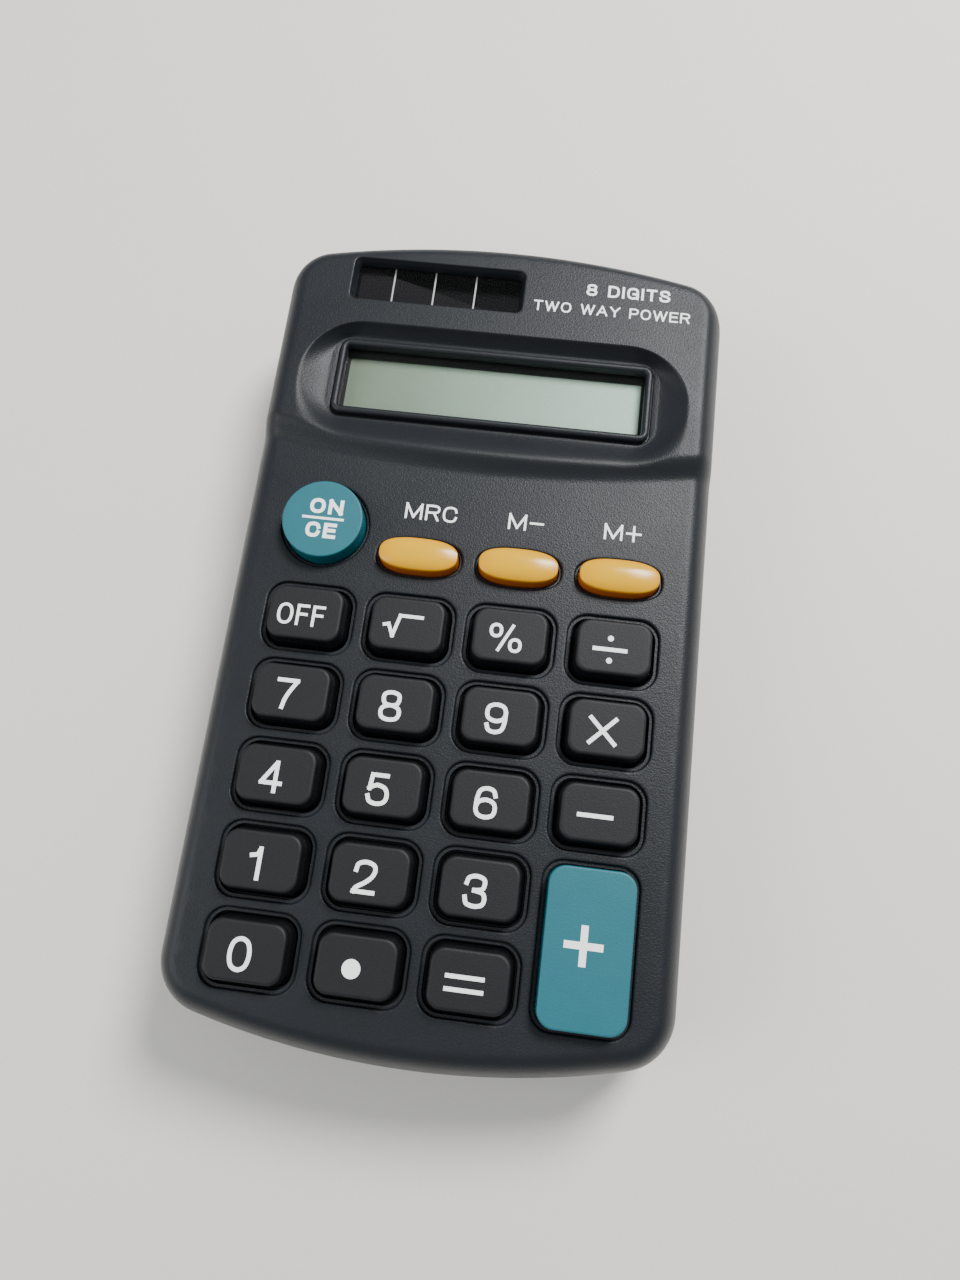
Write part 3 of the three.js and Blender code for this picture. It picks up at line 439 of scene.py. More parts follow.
class Shape:
    """A mesh in millimetres, put together from rings, bands between them, caps and sheets.

    Along a chain of anticlockwise rings the outside is up a wall, inwards over a top, down a hole
    and outwards under a bottom.
    """

    def __init__(self):
        self.points = []
        self.faces = []

    def ring(self, plan, height):
        start = len(self.points)
        heights = np.broadcast_to(height, len(plan))
        self.points.extend((x, y, z) for (x, y), z in zip(plan, heights))
        return range(start, start + len(plan))

    def band(self, a, b):
        count = len(a)
        for i in range(count):
            j = (i + 1) % count
            self.faces.append((a[i], a[j], b[j], b[i]))

    def chain(self, levels, start_cap=False, end_cap=False):
        rings = [self.ring(plan, height) for plan, height in levels]
        for a, b in zip(rings, rings[1:]):
            self.band(a, b)
        if start_cap:
            self.faces.append(tuple(reversed(rings[0])))
        if end_cap:
            self.faces.append(tuple(rings[-1]))
        return rings

    def closed_chain(self, levels):
        rings = self.chain(levels)
        self.band(rings[-1], rings[0])

    def sheet(self, outer, holes, free, height, up=True):
        """Fills a loop round its holes, through the free points, at the heights that a rule gives."""
        loops = [outer, *holes]
        free = np.asarray(free, float).reshape(-1, 2)
        keep = inside(free, outer)
        for loop in holes:
            keep &= ~inside(free, loop)
        free = free[keep]
        for loop in loops:
            free = free[clear_of(free, loop, 0.12)]
        edges, start = [], 0
        for loop in loops:
            edges += [(start + i, start + (i + 1) % len(loop)) for i in range(len(loop))]
            start += len(loop)
        plan = [Vector(p) for p in np.vstack([*loops, free])]
        verts, _, faces, *_ = delaunay_2d_cdt(plan, edges, [], 0, 1e-6)
        plan = np.array([v[:] for v in verts])
        triangles = np.array([tuple(f) for f in faces])
        middle = plan[triangles].mean(axis=1)
        keep = inside(middle, outer)
        for loop in holes:
            keep &= ~inside(middle, loop)
        base = self.ring(plan, height(plan[:, 0], plan[:, 1])).start
        for a, b, c in triangles[keep] + base:
            self.faces.append((a, b, c) if up else (a, c, b))

    def moved(self, matrix):
        self.points = [tuple(matrix @ Vector(p)) for p in self.points]
        return self

    def join(self, other, offset=(0, 0, 0)):
        start = len(self.points)
        self.points.extend((x + offset[0], y + offset[1], z + offset[2]) for x, y, z in other.points)
        self.faces.extend(tuple(i + start for i in face) for face in other.faces)

    def build(self, name, material, sharp=32):
        """The finished object, at the origin, in metres."""
        mesh = bpy.data.meshes.new(name)
        mesh.from_pydata([(x * MM, y * MM, z * MM) for x, y, z in self.points], [], self.faces)
        clean(mesh)
        return finished(name, mesh, material, sharp)


def clean(mesh, gap=3e-7):
    """Merges doubled points and drops faces that have no area."""
    bm = bmesh.new()
    bm.from_mesh(mesh)
    bmesh.ops.remove_doubles(bm, verts=bm.verts, dist=gap)
    bmesh.ops.dissolve_degenerate(bm, edges=bm.edges, dist=gap)
    bmesh.ops.delete(bm, geom=[v for v in bm.verts if not v.link_faces], context="VERTS")
    bm.to_mesh(mesh)
    bm.free()


def finished(name, mesh, material, sharp=32):
    mesh.materials.clear()
    mesh.materials.append(material)
    mesh.shade_smooth()
    mesh.set_sharp_from_angle(angle=math.radians(sharp))
    mesh.name = name
    obj = bpy.data.objects.new(name, mesh)
    bpy.context.scene.collection.objects.link(obj)
    return obj


def put(obj, body, slot, *nodes):
    """Lets a finished piece ride on a body and stand for CAD nodes, which it hides; the slot is not used."""
    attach(obj, body)
    if nodes:
        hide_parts(*nodes)
    return obj


def smoothed_copy(node, name, material, levels=1, sharp=50):
    """A merged copy of a CAD node's mesh, rounded by subdivision."""
    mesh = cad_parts[node].data.copy()
    clean(mesh, gap=1e-6)
    obj = bpy.data.objects.new(name, mesh)
    bpy.context.scene.collection.objects.link(obj)
    if levels:
        modifier = obj.modifiers.new("Round", "SUBSURF")
        modifier.levels = modifier.render_levels = levels
    made = plain_mesh(obj)
    return finished(name, made, material, sharp)


def plain_mesh(obj):
    """The evaluated object as a plain mesh; the object itself is removed."""
    bpy.context.view_layer.update()
    graph = bpy.context.evaluated_depsgraph_get()
    mesh = bpy.data.meshes.new_from_object(obj.evaluated_get(graph))
    obj.modifiers.clear()
    bpy.data.objects.remove(obj)
    return mesh


# ---------------------------------------------------------------- node trees
class Wire:
    """An output socket that takes part in arithmetic, one Math node for each step."""

    def __init__(self, graph, socket):
        self.graph = graph
        self.socket = socket

    def math(self, operation, *values):
        inputs = dict(enumerate(values))
        return self.graph.node("ShaderNodeMath", {"operation": operation}, inputs)

    def __add__(self, other):
        return self.math("ADD", self, other)

    def __sub__(self, other):
        return self.math("SUBTRACT", self, other)

    def __rsub__(self, other):
        return self.math("SUBTRACT", other, self)

    def __mul__(self, other):
        return self.math("MULTIPLY", self, other)

    __radd__ = __add__
    __rmul__ = __mul__

    def between(self, low, high):
        """0 below low, 1 above high, and smooth in between."""
        settings = {"interpolation_type": "SMOOTHSTEP"}
        inputs = {"Value": self, "From Min": low, "From Max": high}
        return self.graph.node("ShaderNodeMapRange", settings, inputs)


class Graph:
    """A node tree being built."""

    def __init__(self, tree):
        self.tree = tree
        self.tree.nodes.clear()

    def node(self, kind, settings=None, inputs=None, output=0):
        """Adds a node: its settings first, then the values or wires of its sockets, by name or number."""
        node = self.tree.nodes.new(kind)
        for key, value in (settings or {}).items():
            if key == "stops":
                self.set_stops(node.color_ramp, value)
            else:
                setattr(node, key, value)
        for key, value in (inputs or {}).items():
            socket = node.inputs[key]
            if isinstance(value, Wire):
                self.tree.links.new(value.socket, socket)
            elif socket.type == "RGBA" and len(value) == 3:
                socket.default_value = (*value, 1)
            else:
                socket.default_value = value
        outputs = node.outputs
        return Wire(self, outputs[output]) if len(outputs) else None

    @staticmethod
    def set_stops(ramp, stops):
        while len(ramp.elements) < len(stops):
            ramp.elements.new(1)
        for element, (position, colour) in zip(ramp.elements, stops):
            element.position = position
            element.color = (*colour, 1)

    def coordinates(self, output="Object"):
        return self.node("ShaderNodeTexCoord", {}, {}, output)

    def axis(self, letter):
        return self.node("ShaderNodeSeparateXYZ", {}, {0: self.coordinates()}, letter)

    def noise(self, size, detail=2.0, roughness=0.5, stretch=None):
        """Noise whose features are about a size in millimetres across."""
        vector = self.coordinates()
        if stretch:
            vector = self.node("ShaderNodeVectorMath", {"operation": "MULTIPLY"}, {0: vector, 1: stretch})
        inputs = {"Vector": vector, "Scale": 1 / (size * MM), "Detail": detail, "Roughness": roughness}
        return self.node("ShaderNodeTexNoise", {}, inputs)

    def mix(self, share, a, b):
        settings = {"data_type": "RGBA", "clamp_factor": True}
        # sockets 6 and 7 are the colours, and output 2 the mixed colour
        return self.node("ShaderNodeMix", settings, {0: share, 6: a, 7: b}, 2)

    def bump(self, height, strength, depth):
        """Bump from a height of 0 to 1 that stands for a depth in millimetres."""
        inputs = {"Height": height, "Strength": strength, "Distance": depth * MM}
        return self.node("ShaderNodeBump", {}, inputs)


MATERIALS = {}


def surface(name, build, **constants):
    """A material whose varying inputs come from build(graph) and whose other ones are constants."""
    if name in MATERIALS:
        return MATERIALS[name]
    material = bpy.data.materials.new(name)
    material.use_nodes = True
    graph = Graph(material.node_tree)
    inputs = {key.replace("_", " "): value for key, value in constants.items()}
    inputs.update(build(graph))
    shader = graph.node("ShaderNodeBsdfPrincipled", {}, inputs)
    graph.node("ShaderNodeOutputMaterial", {}, {"Surface": shader})
    MATERIALS[name] = material
    return material


def grained(graph, colour, grain, depth, rough, spread=0.06, tone=0.12):
    """Moulded plastic with a fine eroded grain, slightly uneven in tone and gloss."""
    fine = graph.noise(grain, 3.0, 0.6)
    broad = graph.noise(9.0, 3.0)
    dark = tuple(c * (1 - tone) for c in colour)
    light = tuple(min(1, c * (1 + tone)) for c in colour)
    return {
        "Base Color": graph.mix(broad * 0.6 + fine * 0.4, dark, light),
        "Roughness": rough - spread + 2 * spread * broad,
        "Normal": graph.bump(fine, 1.0, depth),
    }


def casing_plastic():
    settings = bpy.context.scene.calculator_casing

    def build(graph):
        grain, depth = settings.grain / MM, settings.grain_depth / MM
        parts = grained(graph, settings.colour, grain, depth, settings.roughness)
        # hands polish the roll of the edges a little
        side = graph.noise(3.0, 2.0)
        low = graph.axis("Z").between(0.019, 0.0175)
        parts["Roughness"] = parts["Roughness"] - low * (side * 0.06 + 0.02)
        return parts

    return surface("casing plastic", build, Specular_IOR_Level=0.3)


def rear_plastic():
    settings = bpy.context.scene.calculator_casing

    def build(graph):
        colour = tuple(c * 0.8 for c in settings.colour)
        return grained(graph, colour, 0.4, 0.02, settings.roughness + 0.05)

    return surface("rear shell plastic", build, Specular_IOR_Level=0.3)


def key_plastic(name, colour, top, grain_depth, rough_top, rough_side, tone=0.1, **constants):
    """Key plastic: grained and matt on top, smoother down the sides."""

    def build(graph):
        fine = graph.noise(0.16, 2.0, 0.6)
        broad = graph.noise(4.0, 2.0)
        on_top = graph.axis("Z").between((top - 0.5) * MM, (top - 0.05) * MM)
        dark = tuple(c * (1 - tone) for c in colour)
        light = tuple(min(1, c * (1 + tone)) for c in colour)
        return {
            "Base Color": graph.mix(broad * 0.5 + fine * 0.5, dark, light),
            "Roughness": on_top * (rough_top - rough_side) + rough_side + (broad - 0.5) * 0.06,
            "Normal": graph.bump(fine * (on_top * 0.85 + 0.15), 1.0, grain_depth),
        }

    return surface(name, build, **constants)


def smooth_finish(name, colour, rough, mottle=3.0, tone=0.08, depth=0.004, **constants):
    """A smooth finish with faint flow marks and an uneven gloss."""

    def build(graph):
        marks = graph.noise(mottle, 3.0)
        fine = graph.noise(0.25, 2.0)
        dark = tuple(c * (1 - tone) for c in colour)
        light = tuple(min(1, c * (1 + tone)) for c in colour)
        return {
            "Base Color": graph.mix(marks, dark, light),
            "Roughness": rough + (marks - 0.5) * 0.1,
            "Normal": graph.bump(fine, 1.0, depth),
        }

    return surface(name, build, **constants)


def legend_white():
    settings = bpy.context.scene.calculator_legends
    return smooth_finish("legend paint", settings.colour, 0.5, mottle=0.6, tone=0.04)


def window_plastic():
    def build(graph):
        haze = graph.noise(5.0, 3.0)
        scuff = graph.noise(1.2, 4.0, 0.7, (0.25, 1.0, 1.0)).between(0.62, 0.8)
        return {
            "Base Color": graph.mix(haze, (0.01, 0.012, 0.011), (0.02, 0.022, 0.02)),
            "Roughness": haze * 0.05 + scuff * 0.05 + 0.03,
            "Alpha": haze * 0.03 + 0.1,
        }

    return surface("window plastic", build, IOR=1.49)


def polariser_film():
    settings = bpy.context.scene.calculator_display

    def build(graph):
        # painted reflection: the film runs from its own grey-green at the left end to a whitish mint at the
        # right end, where a reflection of the light is painted into the colour
        across = graph.axis("X").between(-0.03, 0.03)
        fine = graph.noise(0.35, 3.0)
        sheen = graph.noise(16.0, 2.0)
        base = graph.mix(across, settings.left_colour, settings.right_colour)
        darker = graph.mix(fine * 0.16 + sheen * 0.14, base, (0.02, 0.03, 0.02))
        return {"Base Color": darker, "Roughness": fine * 0.1 + 0.32, "Normal": graph.bump(fine, 0.5, 0.004)}

    return surface("polariser film", build)


def cell_glass():
    def build(graph):
        tint = graph.noise(8.0, 2.0)
        return {
            "Base Color": graph.mix(tint, (0.5, 0.58, 0.52), (0.58, 0.66, 0.6)),
            "Roughness": tint * 0.04 + 0.03,
            "Alpha": tint * 0.05 + 0.35,
        }

    return surface("cell glass", build, IOR=1.5)


def brushed_metal(name, colour, rough=0.28):
    def build(graph):
        lines = graph.noise(0.5, 4.0, 0.6, (0.15, 1.0, 1.0))
        tarnish = graph.noise(2.5, 3.0)
        dark = tuple(c * 0.72 for c in colour)
        return {
            "Base Color": graph.mix(tarnish, dark, colour),
            "Metallic": 1.0,
            "Roughness": rough + lines * 0.12 + (tarnish - 0.5) * 0.1,
            "Normal": graph.bump(lines, 0.6, 0.006),
        }

    return surface(name, build)


def rubber(name, colour):
    def build(graph):
        fine = graph.noise(0.3, 3.0)
        dust = graph.noise(2.0, 3.0).between(0.55, 0.75)
        dark = tuple(c * 0.85 for c in colour)
        return {
            "Base Color": graph.mix(dust * 0.4 + fine * 0.2, dark, colour),
            "Roughness": fine * 0.15 + 0.7,
            "Normal": graph.bump(fine, 1.0, 0.012),
        }

    return surface(name, build)


def board_mask():
    def build(graph):
        tracks = graph.node("ShaderNodeTexBrick", {"offset": 0.35, "squash": 1.6},
                            {"Vector": graph.coordinates(), "Scale": 160.0, "Mortar Size": 0.035,
                             "Color1": (0, 0, 0), "Color2": (0, 0, 0), "Mortar": (1, 1, 1)})
        shade = graph.noise(6.0, 3.0)
        weave = graph.noise(0.5, 2.0)
        green = graph.mix(shade, (0.012, 0.1, 0.035), (0.02, 0.14, 0.05))
        return {
            "Base Color": graph.mix(tracks * 0.8, green, (0.06, 0.26, 0.11)),
            "Roughness": weave * 0.1 + 0.28,
            "Normal": graph.bump(tracks + weave * 0.2, 1.0, 0.03),
        }

    return surface("board mask", build)


def solar_cell():
    settings = bpy.context.scene.calculator_solar

    def build(graph):
        cloud = graph.noise(4.0, 3.0)
        fine = graph.noise(0.2, 2.0)
        light = tuple(c * 1.8 for c in settings.colour)
        return {
            "Base Color": graph.mix(cloud, settings.colour, light),
            "Roughness": fine * 0.08 + 0.16,
            "Normal": graph.bump(fine, 0.4, 0.003),
        }

    return surface("solar cell", build)


def battery_wrap():
    def build(graph):
        along = graph.axis("X")
        band = along.between(0.0098, 0.01) - along.between(0.0195, 0.0197)
        print_wear = graph.noise(1.5, 4.0).between(0.66, 0.72)
        body = graph.mix(band, (0.02, 0.025, 0.035), (0.55, 0.3, 0.06))
        return {
            "Base Color": graph.mix(print_wear * 0.5, body, (0.35, 0.35, 0.36)),
            "Roughness": graph.noise(3.0) * 0.12 + 0.2,
            "Metallic": band * 0.8,
            "Normal": graph.bump(graph.noise(2.0, 2.0), 0.4, 0.02),
        }

    return surface("battery wrap", build)


def floor_paper():
    settings = bpy.context.scene.calculator_studio

    def build(graph):
        fibre = graph.noise(1.2, 4.0, 0.6)
        cloud = graph.noise(60.0, 2.0)
        darker = tuple(c * 0.94 for c in settings.floor_colour)
        return {
            "Base Color": graph.mix(cloud * 0.6 + fibre * 0.4, darker, settings.floor_colour),
            "Roughness": fibre * 0.1 + 0.6,
            "Normal": graph.bump(fibre, 0.3, 0.02),
        }

    return surface("studio floor", build)


def coat_node(node, material):
    """Gives a CAD node that stays its material."""
    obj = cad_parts[node]
    obj.data.materials.clear()
    obj.data.materials.append(material)


# ---------------------------------------------------------------- geometry nodes
def geometry_tree(name, inputs, build):
    """A geometry tree whose named inputs follow its Geometry one. It ends in real, painted faces."""
    tree = bpy.data.node_groups.new(name, "GeometryNodeTree")
    tree.interface.new_socket("Geometry", in_out="INPUT", socket_type="NodeSocketGeometry")
    for label, kind, value in inputs:
        socket = tree.interface.new_socket(label, in_out="INPUT", socket_type=kind)
        if value is not None:
            socket.default_value = value
    tree.interface.new_socket("Material", in_out="INPUT", socket_type="NodeSocketMaterial")
    tree.interface.new_socket("Geometry", in_out="OUTPUT", socket_type="NodeSocketGeometry")
    graph = Graph(tree)
    group = graph.tree.nodes.new("NodeGroupInput")
    given = {socket.name: Wire(graph, socket) for socket in group.outputs}
    made = build(graph, given)
    real = graph.node("GeometryNodeRealizeInstances", {}, {"Geometry": made})
    painted = graph.node("GeometryNodeSetMaterial", {}, {"Geometry": real, "Material": given["Material"]})
    graph.node("NodeGroupOutput", {}, {0: painted})
    return tree


def grow_with(name, tree, start, values, material):
    """Runs a geometry tree on a start mesh and returns the result as a plain mesh."""
    obj = bpy.data.objects.new(name, start)
    bpy.context.scene.collection.objects.link(obj)
    modifier = obj.modifiers.new(tree.name, "NODES")
    modifier.node_group = tree
    sockets = {item.name: item.identifier for item in tree.interface.items_tree if item.in_out == "INPUT"}
    for label, value in {**values, "Material": material}.items():
        modifier[sockets[label]] = value
    return plain_mesh(obj)


def points_mesh(name, points, joined=False):
    """A mesh of bare points, in metres from millimetres, joined in a line or loose."""
    mesh = bpy.data.meshes.new(name)
    edges = [(i, i + 1) for i in range(len(points) - 1)] if joined else []
    mesh.from_pydata([tuple(c * MM for c in p) for p in points], edges, [])
    return mesh


def copies_tree():
    """Copies a pattern object to every point."""

    def build(graph, given):
        pattern = graph.node("GeometryNodeObjectInfo", {"transform_space": "ORIGINAL"},
                             {"Object": given["Pattern"]}, "Geometry")
        return graph.node("GeometryNodeInstanceOnPoints", {},
                          {"Points": given["Geometry"], "Instance": pattern})

    return geometry_tree("Copies at points", [("Pattern", "NodeSocketObject", None)], build)


def tube_tree():
    """A round tube along a smooth path through the points."""

    def build(graph, given):
        path = graph.node("GeometryNodeMeshToCurve", {}, {"Mesh": given["Geometry"]})
        smooth = graph.node("GeometryNodeCurveSplineType", {"spline_type": "CATMULL_ROM"}, {"Curve": path})
        even = graph.node("GeometryNodeResampleCurve", {}, {"Curve": smooth, "Count": given["Steps"]})
        section = graph.node("GeometryNodeCurvePrimitiveCircle", {},
                             {"Resolution": given["Sides"], "Radius": given["Radius"]})
        tube = graph.node("GeometryNodeCurveToMesh", {},
                          {"Curve": even, "Profile Curve": section, "Fill Caps": True})
        return tube

    inputs = [
        ("Steps", "NodeSocketInt", 60),
        ("Sides", "NodeSocketInt", 14),
        ("Radius", "NodeSocketFloat", 0.0005),
    ]
    return geometry_tree("Tube along a path", inputs, build)


def ribs_tree():
    """A row of equal ribs, each a pattern object, at an even pitch."""

    def build(graph, given):
        line = {"Count": given["Count"], "Start Location": given["Start"], "Offset": given["Pitch"]}
        row = graph.node("GeometryNodeMeshLine", {}, line)
        pattern = graph.node("GeometryNodeObjectInfo", {"transform_space": "ORIGINAL"},
                             {"Object": given["Pattern"]}, "Geometry")
        return graph.node("GeometryNodeInstanceOnPoints", {}, {"Points": row, "Instance": pattern})

    inputs = [
        ("Count", "NodeSocketInt", 6),
        ("Start", "NodeSocketVector", None),
        ("Pitch", "NodeSocketVector", None),
        ("Pattern", "NodeSocketObject", None),
    ]
    return geometry_tree("Row of ribs", inputs, build)


TREES = {}


def tree_for(make):
    if make not in TREES:
        TREES[make] = make()
    return TREES[make]


def copied(name, pattern, points, material):
    """Copies of a Shape at points, as one plain mesh."""
    model = pattern.build(name + " pattern", material)
    mesh = grow_with(name, tree_for(copies_tree), points_mesh(name, points), {"Pattern": model}, material)
    bpy.data.objects.remove(model)
    return mesh


def row_of(name, pattern, count, start, pitch, material):
    model = pattern.build(name + " pattern", material)
    values = {
        "Count": count,
        "Start": [c * MM for c in start],
        "Pitch": [c * MM for c in pitch],
        "Pattern": model,
    }
    mesh = grow_with(name, tree_for(ribs_tree), points_mesh(name, [(0, 0, 0)]), values, material)
    bpy.data.objects.remove(model)
    return mesh


def tube(name, points, radius, steps, material, sides=14):
    values = {"Steps": steps, "Sides": sides, "Radius": radius * MM}
    return grow_with(name, tree_for(tube_tree), points_mesh(name, points, True), values, material)


# ---------------------------------------------------------------- lettering
# Strokes on a square from -1 to 1: "l" is a straight line, "c" a curve through the points, "o" a closed
# curve and "d" a dot. The first number is the glyph's width for a height of 1.
ROUND = [(0, 1), (-0.74, 0.74), (-1, 0), (-0.74, -0.74), (0, -1), (0.74, -0.74), (1, 0), (0.74, 0.74)]
OPEN_C = [(0.95, 0.42), (0.72, 0.84), (0, 1), (-0.76, 0.76), (-1, 0), (-0.76, -0.76), (0, -1), (0.72, -0.84)]
STEM = ("l", [(-1, -1), (-1, 1)])
GLYPHS = {
    "0": (0.75, [("o", ROUND)]),
    "1": (0.5, [("l", [(0.5, -1), (0.5, 1)]), ("c", [(0.4, 0.92), (0.05, 0.62), (-0.85, 0.52)])]),
    "2": (0.75, [
        ("c", [(-0.98, 0.42), (-0.8, 0.84), (0, 1), (0.82, 0.82), (0.98, 0.42), (0.66, -0.02), (0, -0.4),
               (-0.76, -0.72), (-1, -1)]),
        ("l", [(-1, -1), (1, -1)]),
    ]),
    "3": (0.75, [
        ("c", [(-0.95, 0.5), (-0.74, 0.86), (0, 1), (0.76, 0.85), (0.9, 0.52), (0.68, 0.16), (-0.1, 0.05)]),
        ("c", [(-0.1, 0.05), (0.78, -0.1), (1, -0.5), (0.78, -0.87), (0, -1), (-0.8, -0.85), (-1, -0.45)]),
    ]),
    "4": (0.78, [
        ("l", [(0.45, -1), (0.45, 1)]),
        ("l", [(0.36, 0.95), (-1, -0.4)]),
        ("l", [(-1, -0.45), (1, -0.45)]),
    ]),
    "5": (0.75, [
        ("l", [(0.82, 1), (-0.72, 1)]),
        ("l", [(-0.74, 1), (-0.9, 0.04)]),
        ("c", [(-0.9, 0.04), (-0.5, 0.22), (0, 0.3), (0.74, 0.1), (1, -0.36), (0.78, -0.83), (0, -1),
               (-0.76, -0.86), (-1, -0.5)]),
    ]),
    "6": (0.75, [
        ("o", [(0, 0.2), (-0.76, 0.02), (-1, -0.4), (-0.76, -0.84), (0, -1), (0.78, -0.84), (1, -0.4),
               (0.78, 0.02)]),
        ("c", [(-1, -0.4), (-0.96, 0.25), (-0.68, 0.82), (0.05, 1), (0.7, 0.86), (0.92, 0.52)]),
    ]),
    "7": (0.75, [("l", [(-1, 1), (1, 1)]), ("c", [(0.98, 0.95), (0.3, 0.2), (-0.1, -0.4), (-0.3, -1)])]),
    "8": (0.75, [
        ("o", [(0, 1), (-0.7, 0.87), (-0.86, 0.53), (-0.64, 0.16), (0, 0.05), (0.64, 0.16), (0.86, 0.53),
               (0.7, 0.87)]),
        ("o", [(0, 0.05), (-0.78, -0.12), (-1, -0.48), (-0.76, -0.87), (0, -1), (0.76, -0.87), (1, -0.48),
               (0.78, -0.12)]),
    ]),
    "9": (0.75, [
        ("o", [(0, -0.2), (0.76, -0.02), (1, 0.4), (0.76, 0.84), (0, 1), (-0.78, 0.84), (-1, 0.4),
               (-0.78, -0.02)]),
        ("c", [(1, 0.4), (0.96, -0.25), (0.68, -0.82), (-0.05, -1), (-0.7, -0.86), (-0.92, -0.52)]),
    ]),
    "O": (0.84, [("o", ROUND)]),
    "C": (0.8, [("c", [*OPEN_C, (0.97, -0.4)])]),
    "G": (0.82, [
        ("c", [*OPEN_C, (1, -0.62)]),
        ("l", [(1, -1), (1, -0.08)]),
        ("l", [(1, -0.08), (0.15, -0.08)]),
    ]),
    "F": (0.66, [STEM, ("l", [(-1, 1), (1, 1)]), ("l", [(-1, 0.08), (0.75, 0.08)])]),
    "E": (0.7, [
        STEM,
        ("l", [(-1, 1), (1, 1)]),
        ("l", [(-1, 0.05), (0.85, 0.05)]),
        ("l", [(-1, -1), (1, -1)]),
    ]),
    "N": (0.8, [STEM, ("l", [(-1, 1), (1, -1)]), ("l", [(1, -1), (1, 1)])]),
    "M": (0.95, [STEM, ("l", [(-1, 1), (0, -0.85)]), ("l", [(0, -0.85), (1, 1)]), ("l", [(1, 1), (1, -1)])]),
    "R": (0.78, [
        STEM,
        ("c", [(-1, 1), (0.3, 1), (0.88, 0.84), (1, 0.52), (0.86, 0.18), (0.3, 0.03), (-1, 0.02)]),
        ("l", [(0.2, 0.02), (0.92, -1)]),
    ]),
    "P": (0.74, [
        STEM,
        ("c", [(-1, 1), (0.3, 1), (0.88, 0.82), (1, 0.46), (0.86, 0.1), (0.3, -0.07), (-1, -0.08)]),
    ]),
    "D": (0.8, [STEM, ("c", [(-1, 1), (0, 1), (0.76, 0.74), (1, 0), (0.76, -0.74), (0, -1), (-1, -1)])]),
    "I": (0.18, [("l", [(0, -1), (0, 1)])]),
    "T": (0.74, [("l", [(-1, 1), (1, 1)]), ("l", [(0, 1), (0, -1)])]),
    "S": (0.76, [
        ("c", [(0.9, 0.48), (0.7, 0.86), (0, 1), (-0.74, 0.86), (-0.9, 0.52), (-0.6, 0.16), (0, 0.02),
               (0.64, -0.14), (1, -0.5), (0.76, -0.87), (0, -1), (-0.78, -0.86), (-1, -0.46)]),
    ]),
    "W": (1.15, [("l", [(-1, 1), (-0.5, -1)]), ("l", [(-0.5, -1), (0, 0.95)]), ("l", [(0, 0.95), (0.5, -1)]),
                 ("l", [(0.5, -1), (1, 1)])]),
    "A": (0.88, [("l", [(-1, -1), (0, 1)]), ("l", [(0, 1), (1, -1)]), ("l", [(-0.6, -0.35), (0.6, -0.35)])]),
    "Y": (0.84, [("l", [(-1, 1), (0, -0.05)]), ("l", [(1, 1), (0, -0.05)]), ("l", [(0, 0), (0, -1)])]),
    "root": (1.45, [("l", [(-1, 0.02), (-0.78, 0.12)]), ("l", [(-0.78, 0.12), (-0.5, -1)]),
                    ("l", [(-0.5, -1), (-0.2, 1)]), ("l", [(-0.2, 1), (1, 1)])]),
    "%": (1.1, [
        ("l", [(0.42, 1), (-0.42, -1)]),
        ("o", [(x * 0.34 - 0.66, y * 0.46 + 0.54) for x, y in ROUND]),
        ("o", [(x * 0.34 + 0.66, y * 0.46 - 0.54) for x, y in ROUND]),
    ]),
    "divide": (1.1, [("l", [(-1, 0), (1, 0)]), ("d", [(0, 0.86)]), ("d", [(0, -0.86)])]),
    "times": (1.0, [("l", [(-1, -1), (1, 1)]), ("l", [(-1, 1), (1, -1)])]),
    "-": (0.75, [("l", [(-1, 0), (1, 0)])]),
    "+": (0.8, [("l", [(-1, 0), (1, 0)]), ("l", [(0, -1), (0, 1)])]),
    "=": (1.1, [("l", [(-1, 0.5), (1, 0.5)]), ("l", [(-1, -0.5), (1, -0.5)])]),
    ".": (0.5, [("d", [(0, 0)])]),
    " ": (0.42, []),
}
LETTER_GAP = 0.17
LEGEND_SHIFT = (-0.5, -0.35)  # from a square key's middle
CURVE_STEPS = 5


def curve_through(points, closed):
    """A Catmull-Rom curve through the points."""
    points = np.array(points, float)
    if closed:
        padded = np.vstack([points[-1], points, points[0], points[1]])
    else:
        padded = np.vstack([2 * points[0] - points[1], points, 2 * points[-1] - points[-2]])
    curve = []
    for a, b, c, d in zip(padded, padded[1:], padded[2:], padded[3:]):
        for t in np.arange(CURVE_STEPS) / CURVE_STEPS:
            curve.append(0.5 * (2 * b + (c - a) * t + (2 * a - 5 * b + 4 * c - d) * t**2
                                + (3 * b - a - 3 * c + d) * t**3))
    if not closed:
        curve.append(points[-1])
    return np.array(curve)


def ribbon(path, stroke, closed, ends=1.0):
    """Quads along a path, mitred, with ends drawn out by a share of half the stroke."""
    if not closed:
        for end, other in ((0, 1), (-1, -2)):
            d = path[end] - path[other]
            path[end] = path[end] + ends * d / np.hypot(*d) * stroke / 2
    before = np.roll(path, 1, axis=0)
    after = np.roll(path, -1, axis=0)
    if not closed:
        before[0], after[-1] = path[0], path[-1]
    tangent = after - before
    tangent = tangent / np.hypot(tangent[:, 0], tangent[:, 1])[:, None]
    side = np.column_stack([-tangent[:, 1], tangent[:, 0]]) * stroke / 2
    left, right = path + side, path - side
    quads = []
    for i in range(len(path) if closed else len(path) - 1):
        following = (i + 1) % len(path)
        quads.append(np.array([right[i], right[following], left[following], left[i]]))
    return quads


def glyph_patches(glyph, width, height, stroke, x, y):
    """The convex patches that make up one glyph, about its middle."""
    size = np.array([max(width - stroke, 0) / 2, max(height - stroke, 0) / 2])
    patches = []
    for kind, points in GLYPHS[glyph][1]:
        path = np.array(points, float) * size + (x, y)
        if kind == "d":
            patches.append(circle(stroke * 0.72, path[0], 20))
        elif kind == "l":
            patches += ribbon(path, stroke, False)
        else:
            patches += ribbon(curve_through(path, kind == "o"), stroke, kind == "o")
    return patches


